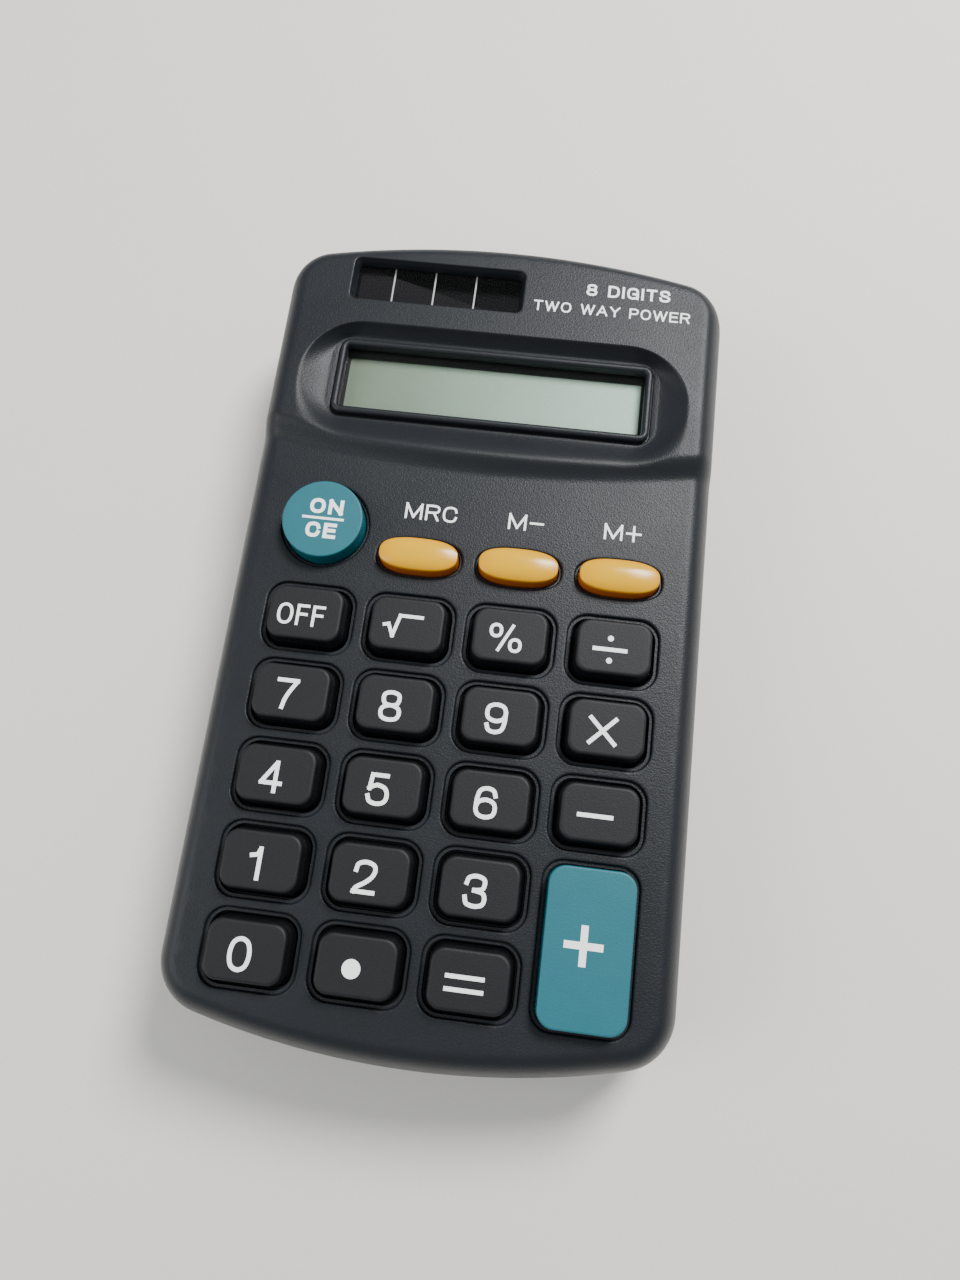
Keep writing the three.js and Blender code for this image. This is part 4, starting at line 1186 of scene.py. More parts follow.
def text_patches(text, height, stroke, width, x, y):
    """Each glyph's patches along a line of text of a given width and height, about its middle."""
    glyphs = [text] if text in GLYPHS else list(text)
    natural = sum(GLYPHS[g][0] for g in glyphs) + LETTER_GAP * (len(glyphs) - 1)
    scale = width / natural
    at = x - width / 2
    patches = []
    for g in glyphs:
        w = GLYPHS[g][0] * scale
        patches.append(glyph_patches(g, w, height, stroke, at + w / 2, y))
        at += w + LETTER_GAP * scale
    return patches


def paint_slab(patches, low, high):
    """One flat slab over all the patches, with their overlaps united."""
    plan, faces = [], []
    for patch in patches:
        start = len(plan)
        plan.extend(Vector(p) for p in patch)
        faces.append(tuple(range(start, start + len(patch))))
    verts, _, triangles, _, _, sources = delaunay_2d_cdt(plan, [], faces, 0, 1e-5)
    flat = [t for t, source in zip(triangles, sources) if source]
    shape = Shape()
    top = shape.ring(np.array([v[:] for v in verts]), high)
    bottom = shape.ring(np.array([v[:] for v in verts]), low)
    edges = set()
    for a, b, c in flat:
        shape.faces.append((top[a], top[b], top[c]))
        shape.faces.append((bottom[a], bottom[c], bottom[b]))
        for p, q in ((a, b), (b, c), (c, a)):
            edges.add((p, q))
    rim = [(p, q) for p, q in edges if (q, p) not in edges]
    for p, q in rim:
        shape.faces.append((top[q], top[p], bottom[p], bottom[q]))
    return shape


# ---------------------------------------------------------------- settings
def length_of(name, description, millimetres):
    return FloatProperty(name=name, description=description, default=millimetres * MM, min=0,
                         subtype="DISTANCE", unit="LENGTH")


def share_of(name, description, value):
    return FloatProperty(name=name, description=description, default=value, min=0, max=1, subtype="FACTOR")


def number_of(name, description, value, least=0, **settings):
    return FloatProperty(name=name, description=description, default=value, min=least, **settings)


def colour_of(name, description, *rgb):
    return FloatVectorProperty(name=name, description=description, default=rgb, size=3, min=0, max=1,
                               subtype="COLOR")


class CasingSettings(bpy.types.PropertyGroup):
    """Looks of the two shells and the battery door."""

    # near-black plastic; its bluish tint is partly a painted reflection of the sky
    colour: colour_of("Plastic", "Colour of the moulded casing", 0.008, 0.0098, 0.0125)
    roughness: share_of("Roughness", "How matt the casing is", 0.42)
    grain: length_of("Grain", "Size of the eroded grain", 0.21)
    grain_depth: length_of("Grain depth", "Depth of the eroded grain", 0.05)
    edge_round: length_of("Edge rounding", "Rounding of the edges of wells and openings", 0.26)
    rim_round: length_of("Rim rounding", "Softness of the dish's rim", 0.2)
    ridge_round: length_of("Ridge rounding", "Softness of the ridge between the step and the dish", 1.1)
    dish_curve: number_of("Dish curve", "How hollow the dish's sides are", 1.3, 1)
    groove: length_of("Bead groove", "Depth of the groove outside the display's bead", 0.2)


class KeySettings(bpy.types.PropertyGroup):
    """Looks of the keys."""

    shoulder: length_of("Shoulder", "Rounding of a key's top edge", 0.55)
    crown: length_of("Memory key crown", "How far the memory keys' tops dome up", 0.55)
    black: colour_of("Black keys", "Colour of the number and operator keys", 0.0055, 0.006, 0.007)
    teal: colour_of("Teal keys", "Colour of the round key and the tall key", 0.004, 0.11, 0.14)
    yellow: colour_of("Yellow keys", "Colour of the memory keys", 0.68, 0.36, 0.0)


class LegendSettings(bpy.types.PropertyGroup):
    """Sizes of the printed legends."""

    colour: colour_of("Paint", "Colour of the legends", 1.0, 1.0, 1.0)
    height: length_of("Digit height", "Height of the digits", 4.0)
    width: length_of("Digit width", "Width of the digits", 2.85)
    stroke: length_of("Stroke", "Width of the strokes", 0.52)
    thickness: length_of("Paint thickness", "How far the paint stands proud", 0.025)


class DisplaySettings(bpy.types.PropertyGroup):
    """Looks of the display."""

    # painted reflection: the right end's colour is the film with a reflection of the light painted in
    left_colour: colour_of("Left", "Colour of the film at its left end", 0.22, 0.28, 0.19)
    right_colour: colour_of("Right", "Colour of the film at its right end", 0.6, 0.85, 0.68)


class SolarSettings(bpy.types.PropertyGroup):
    """Looks of the solar strip."""

    cells: IntProperty(name="Cells", description="How many cells are in the strip", default=4, min=1)
    pitch: length_of("Cell pitch", "From one cell to the next", 6.0)
    divider: length_of("Divider", "Width of the silver lines between cells", 0.22)
    colour: colour_of("Cell", "Colour of the cells", 0.004, 0.003, 0.004)


class DoorSettings(bpy.types.PropertyGroup):
    """The battery door's grip."""

    ribs: IntProperty(name="Grip ribs", description="How many ribs the grip has", default=7, min=1)
    rib_pitch: length_of("Rib pitch", "From one rib to the next", 1.3)
    rib_width: length_of("Rib length", "Length of each rib across the door", 15)
    recess: length_of("Grip recess", "Depth of the recess under the ribs", 0.45)


class StudioSettings(bpy.types.PropertyGroup):
    """Floor and lights."""

    floor_colour: colour_of("Floor", "Colour of the floor", 0.74, 0.71, 0.67)
    key_power: number_of("Main light", "Power of the main light", 5.5, unit="POWER")
    fill_power: number_of("Fill light", "Power of the fill light", 1.8, unit="POWER")
    world: number_of("Surroundings", "Strength of the light all round", 0.55)


# ---------------------------------------------------------------- pieces
def opening_levels(ring_at, levels):
    """Rings of an opening from (grow, height) pairs; a height may be a rule for the face's height."""
    made = []
    for grow, height in levels:
        ring = ring_at(grow)
        z = height(ring[:, 0], ring[:, 1]) if callable(height) else height
        made.append((ring, z))
    return made


def rounded_mouth(ring_at, radius, surface_height, sign=-1, steps=4):
    """The rounded edge of an opening in a surface, from the surface down its wall."""
    made = []
    for angle in np.linspace(0, math.pi / 2, steps + 1):
        ring = ring_at(radius * (1 - math.sin(angle)))
        fall = radius * (1 - math.cos(angle))
        made.append((ring, surface_height(ring[:, 0], ring[:, 1]) + sign * fall))
    return made


def front_shell_shape():
    settings = bpy.context.scene.calculator_casing
    soft = settings.edge_round / MM
    shape = Shape()

    # inside edge, rebate, bottom edge and outside wall, up to where the face's sheet begins
    def wall_level(share, inset, wall, height_at):
        ring = outline(inset + wall_inset(share, wall))
        top = height_at(ring[:, 0], ring[:, 1])
        return ring, PARTING + share * (top - PARTING)

    def under(x, y):
        upper = smooth_step((y - UPPER_ROOM_Y + 0.3) / 0.6)
        return UNDERSIDE + (UPPER_UNDERSIDE - UNDERSIDE) * upper

    rebate = SHELL_WALL - LIP_THICKNESS - LIP_ROOM - 0.1
    rebate_top = PARTING + LIP_HEIGHT + LIP_ROOM
    hollow_shares = [1, 0.97, 0.9, 0.75, 0.5, 0.16]
    levels = [wall_level(s, SHELL_WALL, FRONT_HOLLOW, under) for s in hollow_shares]
    levels += [
        (outline(rebate), rebate_top),
        (outline(rebate), PARTING + 0.02),
        (outline(FRONT_SETBACK + 0.1), PARTING),
        (outline(FRONT_SETBACK + 0.03), PARTING + 0.03),
    ]
    face_edge_share = 0.965
    shares = [0.02, 0.12, 0.25, 0.4, 0.52, 0.62, 0.7, 0.77, 0.83, 0.88, 0.92, 0.945, face_edge_share]
    levels += [wall_level(s, FRONT_SETBACK, FRONT_WALL, flat_height) for s in shares]
    shape.chain(levels)

    # each opening from the face down to the underside
    holes, floors = [], []
    free = []

    def opening(ring_at, levels, mouth_round=soft):
        mouth = rounded_mouth(ring_at, mouth_round, front_height)
        rings = mouth + opening_levels(ring_at, levels)
        shape.chain(rings)
        holes.append(rings[0][0])
        floors.append(rings[-1][0])
        free.extend(ring_at(mouth_round + 0.16))

    for name, well, ledge in WELLS:
        middle = key_middle(name)
        floor = KEYPAD_FACE - WELL_DEPTH
        opening(lambda grow, well=well, middle=middle: well(grow) + middle, [
            (-0.02, floor + 0.05),
            (-0.06, floor),
            (-ledge + 0.05, floor),
            (-ledge, floor - 0.05),
            (-ledge, floor - 0.5),
            (-ledge, UNDERSIDE),
        ])

    def solar(grow):
        reach = SOLAR_BEVEL - SOLAR_FLANGE + grow
        width, length = SOLAR_SIZE.x + 2 * reach, SOLAR_SIZE.y + 2 * reach
        radius = max(SOLAR_RADIUS + grow * 0.4, 0.2)
        return rounded_rectangle(width, length, radius, SOLAR_MIDDLE.xy, side_steps=20)

    seat = top_of("solar_window")
    opening(solar, [
        (-0.12, DISPLAY_FACE - 0.4),
        (-SOLAR_BEVEL, seat + 0.02),
        (-SOLAR_BEVEL, seat),
        (-SOLAR_BEVEL + SOLAR_FLANGE + FIT / 2, seat),
        (-SOLAR_BEVEL + SOLAR_FLANGE + FIT / 2, UPPER_UNDERSIDE),
    ], 0.2)

    def bead(grow):
        width, length = BEAD_WIDTH + 2 * grow, BEAD_LENGTH + 2 * grow
        radius = max(BEAD_RADIUS + grow, 0.35)
        return rounded_rectangle(width, length, radius, (0, WINDOW_MIDDLE.y), DISH_STEPS, DISH_SIDE_STEPS)

    groove = settings.groove / MM
    bead_top = DISH_FLOOR + BEAD_HEIGHT
    half_bar = BEAD_BAR / 2
    bead_foot = bead_top - half_bar
    levels = []
    for t in (1.15, 1.12, 1.085, 1.05, 1.02, 0.99, 0.96, 0.92, 0.87, 0.82, 0.75, 0.67, 0.58, 0.5, 0.42,
              0.34, 0.27, 0.2, 0.14, 0.09, 0.04, 0.0):
        ring = dish_ring(t)
        levels.append((ring, front_height(ring[:, 0], ring[:, 1])))
    levels += [
        (bead(0.34), DISH_FLOOR),
        (bead(0.2), DISH_FLOOR - groove * 0.3),
        (bead(0.12), DISH_FLOOR - groove),
        (bead(0.0), DISH_FLOOR - groove),
        (bead(0.0), bead_foot - 0.05),
    ]
    for angle in np.linspace(0, math.pi, 13):
        levels.append((bead(half_bar * (math.cos(angle) - 1)), bead_foot + half_bar * math.sin(angle)))
    window_top = top_of("display_window")
    levels += [
        (bead(-BEAD_BAR), window_top),
        (bead(-BEAD_BAR + WINDOW_FLANGE + FIT / 2), window_top),
        (bead(-BEAD_BAR + WINDOW_FLANGE + FIT / 2), UNDERSIDE),
    ]
    shape.chain(levels)
    holes.append(levels[0][0])
    floors.append(levels[-1][0])
    for t in (1.19, 1.24, 1.3, 1.37):
        ring = dish_ring(t)
        free.extend(ring[inset_at(ring[:, 0], ring[:, 1]) > 4.9])

    # the free points of the face: its rolled edge, the step and the dish
    for share in (0.978, 0.99, 0.997, 1):
        free.extend(outline(FRONT_SETBACK + wall_inset(share, FRONT_WALL)))
    free.extend(outline(FRONT_SETBACK + wall_inset(1, FRONT_WALL) + 0.3))
    band = []
    for x in np.arange(-31.5, 31.6, 0.45):
        foot = STEP_FOOT + x**2 / (2 * STEP_ARC_RADIUS)
        band.extend((x, foot + offset) for offset in np.arange(-0.6, STEP_RUN + 0.7, 0.3))
    band = np.array(band)
    free.extend(band[dish_share(band[:, 0], band[:, 1]) > 1.43])
    open_face = np.array([(x, y) for x in np.arange(-31, 32, 3.1) for y in np.arange(-55, 56, 3.1)])
    free.extend(open_face[dish_share(open_face[:, 0], open_face[:, 1]) > 1.5])
    face_edge = outline(FRONT_SETBACK + wall_inset(face_edge_share, FRONT_WALL))
    shape.sheet(face_edge, holes, free, front_height)

    # the underside
    inner_edge = outline(SHELL_WALL + wall_inset(1, FRONT_HOLLOW))
    change = [(x, UPPER_ROOM_Y + dy) for x in np.arange(-29, 30, 2.0) for dy in (-0.35, -0.1, 0.1, 0.35)]
    shape.sheet(inner_edge, floors, change, under, up=False)
    return shape


def post(outer, bore, low, high, counterbore=None, seat=None):
    """A round post with a bore, closed, standing at the origin; a counterbore opens from below."""
    shape = Shape()

    def around(radius):
        return circle(radius, count=28)

    levels = [(around(outer), low), (around(outer), high - 0.15), (around(outer - 0.15), high)]
    if counterbore:
        levels += [(around(bore), high), (around(bore), seat), (around(counterbore), seat)]
        levels += [(around(counterbore), low)]
    else:
        levels += [(around(bore), high), (around(bore), low)]
    shape.closed_chain(levels)
    return shape


def box_shape(width, length, low, high, x=0, y=0, soft=0.1):
    """A block with softened edges."""
    corner = min(0.25, width * 0.45, length * 0.45)

    def ring_at(grow):
        radius = max(corner + grow, corner * 0.4)
        return rounded_rectangle(width + 2 * grow, length + 2 * grow, radius, (x, y), 3, 1)

    shape = Shape()
    shape.chain([
        (ring_at(-soft), low),
        (ring_at(-soft * 0.3), low + soft * 0.3),
        (ring_at(0), low + soft),
        (ring_at(0), high - soft),
        (ring_at(-soft * 0.3), high - soft * 0.3),
        (ring_at(-soft), high),
    ], start_cap=True, end_cap=True)
    return shape


def door_ring(grow, near_gap=0, far_gap=0, side_gap=0):
    middle_y = (DOOR_NEAR_Y + DOOR_FAR_Y) / 2 + (near_gap - far_gap) / 2
    return rounded_rectangle(
        DOOR_WIDTH - 2 * side_gap + 2 * grow,
        DOOR_FAR_Y - DOOR_NEAR_Y - near_gap - far_gap + 2 * grow,
        DOOR_RADIUS + grow,
        (0, middle_y),
        side_steps=24,
    )


def rear_inside(x, y):
    share = wall_share(inset_at(x, y) - SHELL_WALL, REAR_WALL)
    return PARTING - share * (PARTING - BASE_THICKNESS)


def rear_shell_shape():
    shape = Shape()
    top = PARTING - PARTING_GAP
    base_edge_share = 0.9
    inner_edge_share = 0.86
    inner_inset = SHELL_WALL + wall_inset(inner_edge_share, REAR_WALL)

    def level(share, inset, base):
        return outline(inset + wall_inset(share, REAR_WALL)), PARTING - share * (PARTING - base)

    shares = [base_edge_share, 0.84, 0.76, 0.66, 0.55, 0.42, 0.3, 0.18, 0.08, 0.035]
    levels = [level(s, 0, 0) for s in shares]
    levels += [
        (outline(0.02), top - 0.04),
        (outline(0.08), top),
        (outline(SHELL_WALL - LIP_THICKNESS), top),
        (outline(SHELL_WALL - LIP_THICKNESS), top + LIP_HEIGHT - 0.1),
        (outline(SHELL_WALL - LIP_THICKNESS + 0.1), top + LIP_HEIGHT),
        (outline(SHELL_WALL), top + LIP_HEIGHT),
    ]
    inner_shares = [0.02, 0.2, 0.4, 0.55, 0.7, 0.8, inner_edge_share]
    levels += [level(s, SHELL_WALL, BASE_THICKNESS) for s in inner_shares]
    shape.chain(levels)

    # openings from the inner floor down through the base
    inner_holes, base_holes, free = [], [], []

    def opening(ring_at, mouth_round):
        # the inner end is drawn in where it would cut into the end wall
        ring = ring_at(0)
        short = np.maximum(inner_inset + 0.1 - inset_at(ring[:, 0], ring[:, 1]), 0)
        inner = ring - np.column_stack([np.zeros_like(short), np.sign(ring[:, 1]) * short])
        floor = rear_inside(inner[:, 0], inner[:, 1])
        above_door = np.minimum(rear_height(ring[:, 0], ring[:, 1]) + 1.05, floor - 0.05)
        mouth = rounded_mouth(ring_at, mouth_round, rear_height, sign=1)[::-1]
        shape.chain([(inner, floor), (ring, above_door), *mouth])
        inner_holes.append(inner)
        base_holes.append(mouth[-1][0])
        free.extend(ring_at(mouth_round + 0.14))

    opening(door_ring, 0.14)
    for x, y in CASE_SCREWS:
        opening(lambda grow, x=x, y=y: circle(COUNTERBORE + 0.05 + grow, (x, y), 32), 0.18)

    for share in (0.93, 0.955, 0.975, 0.99, 1):
        free.extend(outline(wall_inset(share, REAR_WALL)))
    free.extend(outline(wall_inset(1, REAR_WALL) + 0.3))
    base_edge = outline(wall_inset(base_edge_share, REAR_WALL))
    shape.sheet(base_edge, base_holes, free, rear_height, up=False)
    inner_free = [p for share in (0.93, 0.97, 1) for p in outline(SHELL_WALL + wall_inset(share, REAR_WALL))]
    inner_edge = outline(inner_inset)
    shape.sheet(inner_edge, inner_holes, inner_free, rear_inside)
    return shape


def door_shape(settings):
    """The battery door, with a recess for its grip."""
    shape = Shape()
    soft = 0.12

    def ring_at(grow):
        return door_ring(grow, DOOR_GAP, DOOR_FAR_GAP, DOOR_GAP)

    def inside_height(x, y):
        return np.maximum(rear_height(x, y) + 0.9, DOOR_THICKNESS)

    edge = []
    for angle in np.linspace(0, math.pi / 2, 4):
        ring = ring_at(-soft * (1 - math.sin(angle)))
        edge.append((ring, rear_height(ring[:, 0], ring[:, 1]) + soft * (1 - math.cos(angle))))
    inner = ring_at(0)
    shape.chain([*edge, (inner, inside_height(inner[:, 0], inner[:, 1]))])

    width = settings.rib_width / MM + 2 * GRIP_MARGIN
    depth = settings.recess / MM

    def grip(grow):
        length = GRIP_LENGTH + 2 * grow
        return rounded_rectangle(width + 2 * grow, length, GRIP_RADIUS + grow, (0, GRIP_Y), side_steps=4)

    recess = [(grip(-0.75), depth), (grip(-0.35), depth * 0.9), (grip(-0.1), depth * 0.4), (grip(0.05), 0.0)]
    shape.chain(recess)
    recess_floor = recess[0][0]
    shape.sheet(recess_floor, [], [], lambda x, y: np.full(len(x), depth), up=False)
    free = [p for share in (0.9, 0.93, 0.955, 0.975, 0.99, 1) for p in outline(wall_inset(share, REAR_WALL))]
    shape.sheet(edge[0][0], [recess[-1][0]], free, rear_height, up=False)
    shape.sheet(inner, [], free, inside_height)
    return shape


def key_levels(ring_at, draft, shoulder, top, crown=0.0, ledge=0.45):
    """A key from the tip of its inside post, out and up to its top."""
    body = -ledge - KEY_CLEARANCE
    flange = -ledge + FLANGE_REACH
    foot = KEY_FOOT
    ceiling = top - KEY_CEILING_DROP
    hollow = ring_at(body - KEY_SKIRT)
    post_ring = drawn_to_circle(hollow, KEY_POST_RADIUS)
    levels = [
        (post_ring * 0.9, foot),
        (post_ring, foot + 0.15),
        (post_ring, ceiling),
        (hollow, ceiling),
        (hollow, FLANGE_BOTTOM),
        (ring_at(flange), FLANGE_BOTTOM),
        (ring_at(flange), FLANGE_TOP),
        (ring_at(body), FLANGE_TOP),
        (ring_at(body), FLANGE_TOP + 0.1),
    ]
    rim = top - crown
    rise = rim - shoulder - FLANGE_TOP
    for share in (0.35, 0.7, 0.9, 1):
        levels.append((ring_at(body - draft * share), FLANGE_TOP + rise * share))
    for angle in np.linspace(0, math.pi / 2, 7)[1:]:
        grow = body - draft - shoulder * 0.8 * (1 - math.cos(angle))
        height = rim - shoulder * (1 - math.sin(angle))
        if crown == 0 or angle < math.pi / 3:
            levels.append((ring_at(grow), height))
    return levels, body - draft - shoulder * 0.8


def flat_key_shape(ring_at, draft, shoulder, top, ledge):
    shape = Shape()
    levels, edge = key_levels(ring_at, draft, shoulder, top, ledge=ledge)
    levels.append((ring_at(edge - 0.12), top))
    shape.chain(levels, start_cap=True, end_cap=True)
    return shape


def domed_key_shape(ring_at, draft, shoulder, top, crown, ledge):
    """A key whose top swells up in one smooth pill."""
    shape = Shape()
    levels, _ = key_levels(ring_at, draft, shoulder, top, crown, ledge)
    last, height = levels[-1]
    for share in (0.94, 0.86, 0.76, 0.64, 0.5, 0.36, 0.22, 0.1):
        levels.append((last * share, height + (top - height) * (1 - share**2.4)))
    shape.chain(levels, start_cap=True, end_cap=True)
    return shape


def key_object(node, shape, material, slot):
    middle = key_middle(node)
    placed = Shape()
    placed.join(shape, (*middle, 0))
    obj = placed.build(node + "_key", material, sharp=40)
    return put(obj, node + "_cap", slot, node)


def legend(name, body, lines, top):
    """Painted lettering on a key or a face: lines of (text, width, height, stroke, x, y)."""
    thickness = bpy.context.scene.calculator_legends.thickness / MM
    shape = Shape()
    for text, width, height, stroke, x, y in lines:
        for glyph in text_patches(text, height, stroke, width, x, y):
            shape.join(paint_slab(glyph, top - 0.05, top + thickness))
    obj = shape.build(name, legend_white(), sharp=30)
    return put(obj, body, "legend_white")


# ---------------------------------------------------------------- operators
class PieceOperator:
    """What every operator here shares."""

    bl_options = {"REGISTER", "UNDO"}


class CALCULATOR_OT_front_shell(PieceOperator, bpy.types.Operator):
    """Front shell with its dish, bead, solar opening, key wells and screw bosses"""

    bl_idname = "calculator.front_shell"
    bl_label = "Front shell"

    def execute(self, context):
        shape = front_shell_shape()
        for x, y in CASE_SCREWS:
            shape.join(post(*CASE_BOSS, BOSS_FOOT, UNDERSIDE + BOSS_SINK), (x, y, 0))
        for x, y in BOARD_SCREWS:
            shape.join(post(*BOARD_BOSS, top_of("circuit_board"), UNDERSIDE + BOSS_SINK), (x, y, 0))
        obj = shape.build("front_shell", casing_plastic())
        put(obj, "casing", "casing", "front_case")
        return {"FINISHED"}


class CALCULATOR_OT_rear_shell(PieceOperator, bpy.types.Operator):
    """Rear shell with its lip, battery opening, screw posts and battery holders"""

    bl_idname = "calculator.rear_shell"
    bl_label = "Rear shell"

    def execute(self, context):
        shape = rear_shell_shape()
        screw_post = post(COUNTERBORE + POST_WALL, POST_BORE, POST_FOOT, POST_TOP, COUNTERBORE, SCREW_SEAT)
        for x, y in CASE_SCREWS:
            shape.join(screw_post, (x, y, 0))
        rib_y = DOOR_NEAR_Y - RIB_GAP - RIB_SIZE[1] / 2
        shape.join(box_shape(*RIB_SIZE, POST_FOOT, RIB_TOP, 0, rib_y))
        reach = HOLDER_SIZE[0] / 2 + HOLDER_GAP
        spring_x = SPRING_MIDDLE.x - SPRING_SIZE.x / 2 - reach
        plate_x = PLATE_MIDDLE.x + PLATE_SIZE.x / 2 + reach
        for x in (spring_x, plate_x):
            shape.join(box_shape(*HOLDER_SIZE, POST_FOOT, HOLDER_TOP, x, BATTERY_MIDDLE.y))
        obj = shape.build("rear_shell", rear_plastic())
        put(obj, "casing", "casing", "rear_case")
        return {"FINISHED"}


class CALCULATOR_OT_battery_door(PieceOperator, bpy.types.Operator):
    """Battery door with its hinge tabs, and a grip of ribs in a recess"""

    bl_idname = "calculator.battery_door"
    bl_label = "Battery door"

    def execute(self, context):
        settings = context.scene.calculator_door
        shape = door_shape(settings)
        # each tab is a tongue over the base's edge and the foot that joins it to the door
        tab_low, tab_high = BASE_THICKNESS + 0.15, BASE_THICKNESS + 1.05
        for x in (-TAB_X, TAB_X):
            shape.join(box_shape(TAB_WIDTH, 3.5, tab_low, tab_high, x, DOOR_NEAR_Y + 0.4))
            shape.join(box_shape(TAB_WIDTH, 1.2, 1.3, tab_low + 0.1, x, DOOR_NEAR_Y + 1.45))
        obj = shape.build("battery_door_panel", rear_plastic())
        put(obj, "door", "casing", "battery_door")

        depth = settings.recess / MM
        length = settings.rib_width / MM
        rib = Shape()

        def ring_at(grow):
            return rounded_rectangle(length + 2 * grow, RIB_THICKNESS + 2 * grow, 0.3 + grow, (0, 0), 5, 2)

        levels = [(ring_at(-0.26), 0.03), (ring_at(-0.14), 0.06), (ring_at(-0.04), 0.14), (ring_at(0), 0.25)]
        levels.append((ring_at(0), depth + 0.1))
        rib.chain(levels, start_cap=True, end_cap=True)
        pitch = settings.rib_pitch / MM
        start = (0, GRIP_Y - pitch * (settings.ribs - 1) / 2, 0)
        mesh = row_of("door grip", rib, settings.ribs, start, (0, pitch, 0), rear_plastic())
        obj = finished("battery_door_grip", mesh, rear_plastic())
        put(obj, "door", "casing")
        return {"FINISHED"}


class CALCULATOR_OT_display(PieceOperator, bpy.types.Operator):
    """Finishes of the window, the liquid crystal cell and what holds it"""

    bl_idname = "calculator.display"
    bl_label = "Display"

    def execute(self, context):
        coat_node("display_window", window_plastic())
        window_low = bottom_of("display_window")
        # painted shade: a black film under the window whose wide top margin stands in for the shadow that
        # the bead's top wall casts on the display
        mask = Shape()
        hole = rounded_rectangle(*MASK_OPENING, (0, MASK_Y_WITH_SHADE_BAND))
        rim = rounded_rectangle(WINDOW_SIZE.x, WINDOW_SIZE.y, MASK_OPENING[2], WINDOW_MIDDLE.xy)
        low, high = window_low - 0.12, window_low - 0.02
        mask.closed_chain([(rim, low), (rim, high), (hole, high), (hole, low)])
        obj = mask.build("display_mask", smooth_finish("mask film", (0.004, 0.004, 0.004), 0.6))
        put(obj, "casing", "carrier")
        coat_node("lcd_front_polariser", polariser_film())
        coat_node("lcd_front_glass", cell_glass())
        coat_node("lcd_rear_glass", cell_glass())
        coat_node("lcd_reflector", smooth_finish("reflector foil", (0.42, 0.48, 0.43), 0.35, mottle=1.5))
        coat_node("lcd_carrier", smooth_finish("carrier plastic", (0.02, 0.02, 0.022), 0.45, mottle=2.0))
        coat_node("zebra_strip", rubber("zebra rubber", (0.42, 0.4, 0.46)))
        return {"FINISHED"}


class CALCULATOR_OT_solar_strip(PieceOperator, bpy.types.Operator):
    """Solar panel with its cells and the silver lines between them"""

    bl_idname = "calculator.solar_strip"
    bl_label = "Solar strip"

    def execute(self, context):
        settings = context.scene.calculator_solar
        coat_node("solar_window", window_plastic())
        coat_node("solar_panel", solar_cell())
        top = top_of("solar_panel")
        width = settings.divider / MM
        pitch = settings.pitch / MM
        length = SOLAR_SIZE.y - 0.6
        line = box_shape(width, length, top - 0.02, top + 0.012, soft=0.004)
        first = SOLAR_MIDDLE.x - pitch * (settings.cells - 2) / 2 - 0.75
        silver = smooth_finish("printed silver", (0.5, 0.5, 0.49), 0.4, mottle=1.0)
        start = (first, SOLAR_MIDDLE.y, 0)
        mesh = row_of("solar lines", line, settings.cells - 1, start, (pitch, 0, 0), silver)
        obj = finished("solar_dividers", mesh, silver)
        put(obj, "casing", "solar_cell")
        return {"FINISHED"}


class CALCULATOR_OT_number_keys(PieceOperator, bpy.types.Operator):
    """The eighteen black keys"""

    bl_idname = "calculator.number_keys"
    bl_label = "Number and operator keys"

    def execute(self, context):
        settings = context.scene.calculator_keys
        top = top_of("key_5")
        finish = {"grain_depth": 0.03, "rough_top": 0.55, "rough_side": 0.24, "Specular_IOR_Level": 0.32}
        material = key_plastic("black key plastic", settings.black, top, **finish)
        shape = flat_key_shape(square_well, 0.5, settings.shoulder / MM, top, 0.45)
        for node in SQUARE_KEYS:
            key_object(node, shape, material, "black_key")
        return {"FINISHED"}


class CALCULATOR_OT_teal_keys(PieceOperator, bpy.types.Operator):
    """The round on and clear key and the tall plus key"""

    bl_idname = "calculator.teal_keys"
    bl_label = "Teal keys"

    def execute(self, context):
        settings = context.scene.calculator_keys
        top = top_of("key_plus")
        finish = {"grain_depth": 0.022, "rough_top": 0.5, "rough_side": 0.26}
        material = key_plastic("teal key plastic", settings.teal, top, **finish)
        shape = flat_key_shape(tall_well, 0.05, 0.3, top, 0.45)
        key_object("key_plus", shape, material, "teal_key")
        shape = flat_key_shape(round_well, 0.05, 0.25, top, 0.35)
        key_object("key_on_clear", shape, material, "teal_key")
        return {"FINISHED"}


class CALCULATOR_OT_memory_keys(PieceOperator, bpy.types.Operator):
    """The three yellow memory keys, which dome up"""

    bl_idname = "calculator.memory_keys"
    bl_label = "Memory keys"

    def execute(self, context):
        settings = context.scene.calculator_keys
        top = top_of("key_memory_plus")

        def build(graph):
            flow = graph.noise(3.0, 2.0)
            # painted shade: below the top the yellow is darkened to a deep orange, shade on the key's sides
            # painted into the colour
            height = graph.axis("Z").between((top - 1.6) * MM, (top - 0.1) * MM)
            painted_shade_orange = tuple(c * f for c, f in zip(settings.yellow, (0.75, 0.3, 0.5)))
            return {
                "Base Color": graph.mix(height, painted_shade_orange, settings.yellow),
                "Roughness": flow * 0.08 + 0.2,
                "Normal": graph.bump(graph.noise(0.4, 2.0), 0.5, 0.003),
            }

        material = surface("yellow key plastic", build, Specular_IOR_Level=0.35)
        shape = domed_key_shape(memory_well, 0.05, 0.35, top, settings.crown / MM, 0.3)
        for node in MEMORY_KEYS:
            key_object(node, shape, material, "yellow_key")
        return {"FINISHED"}


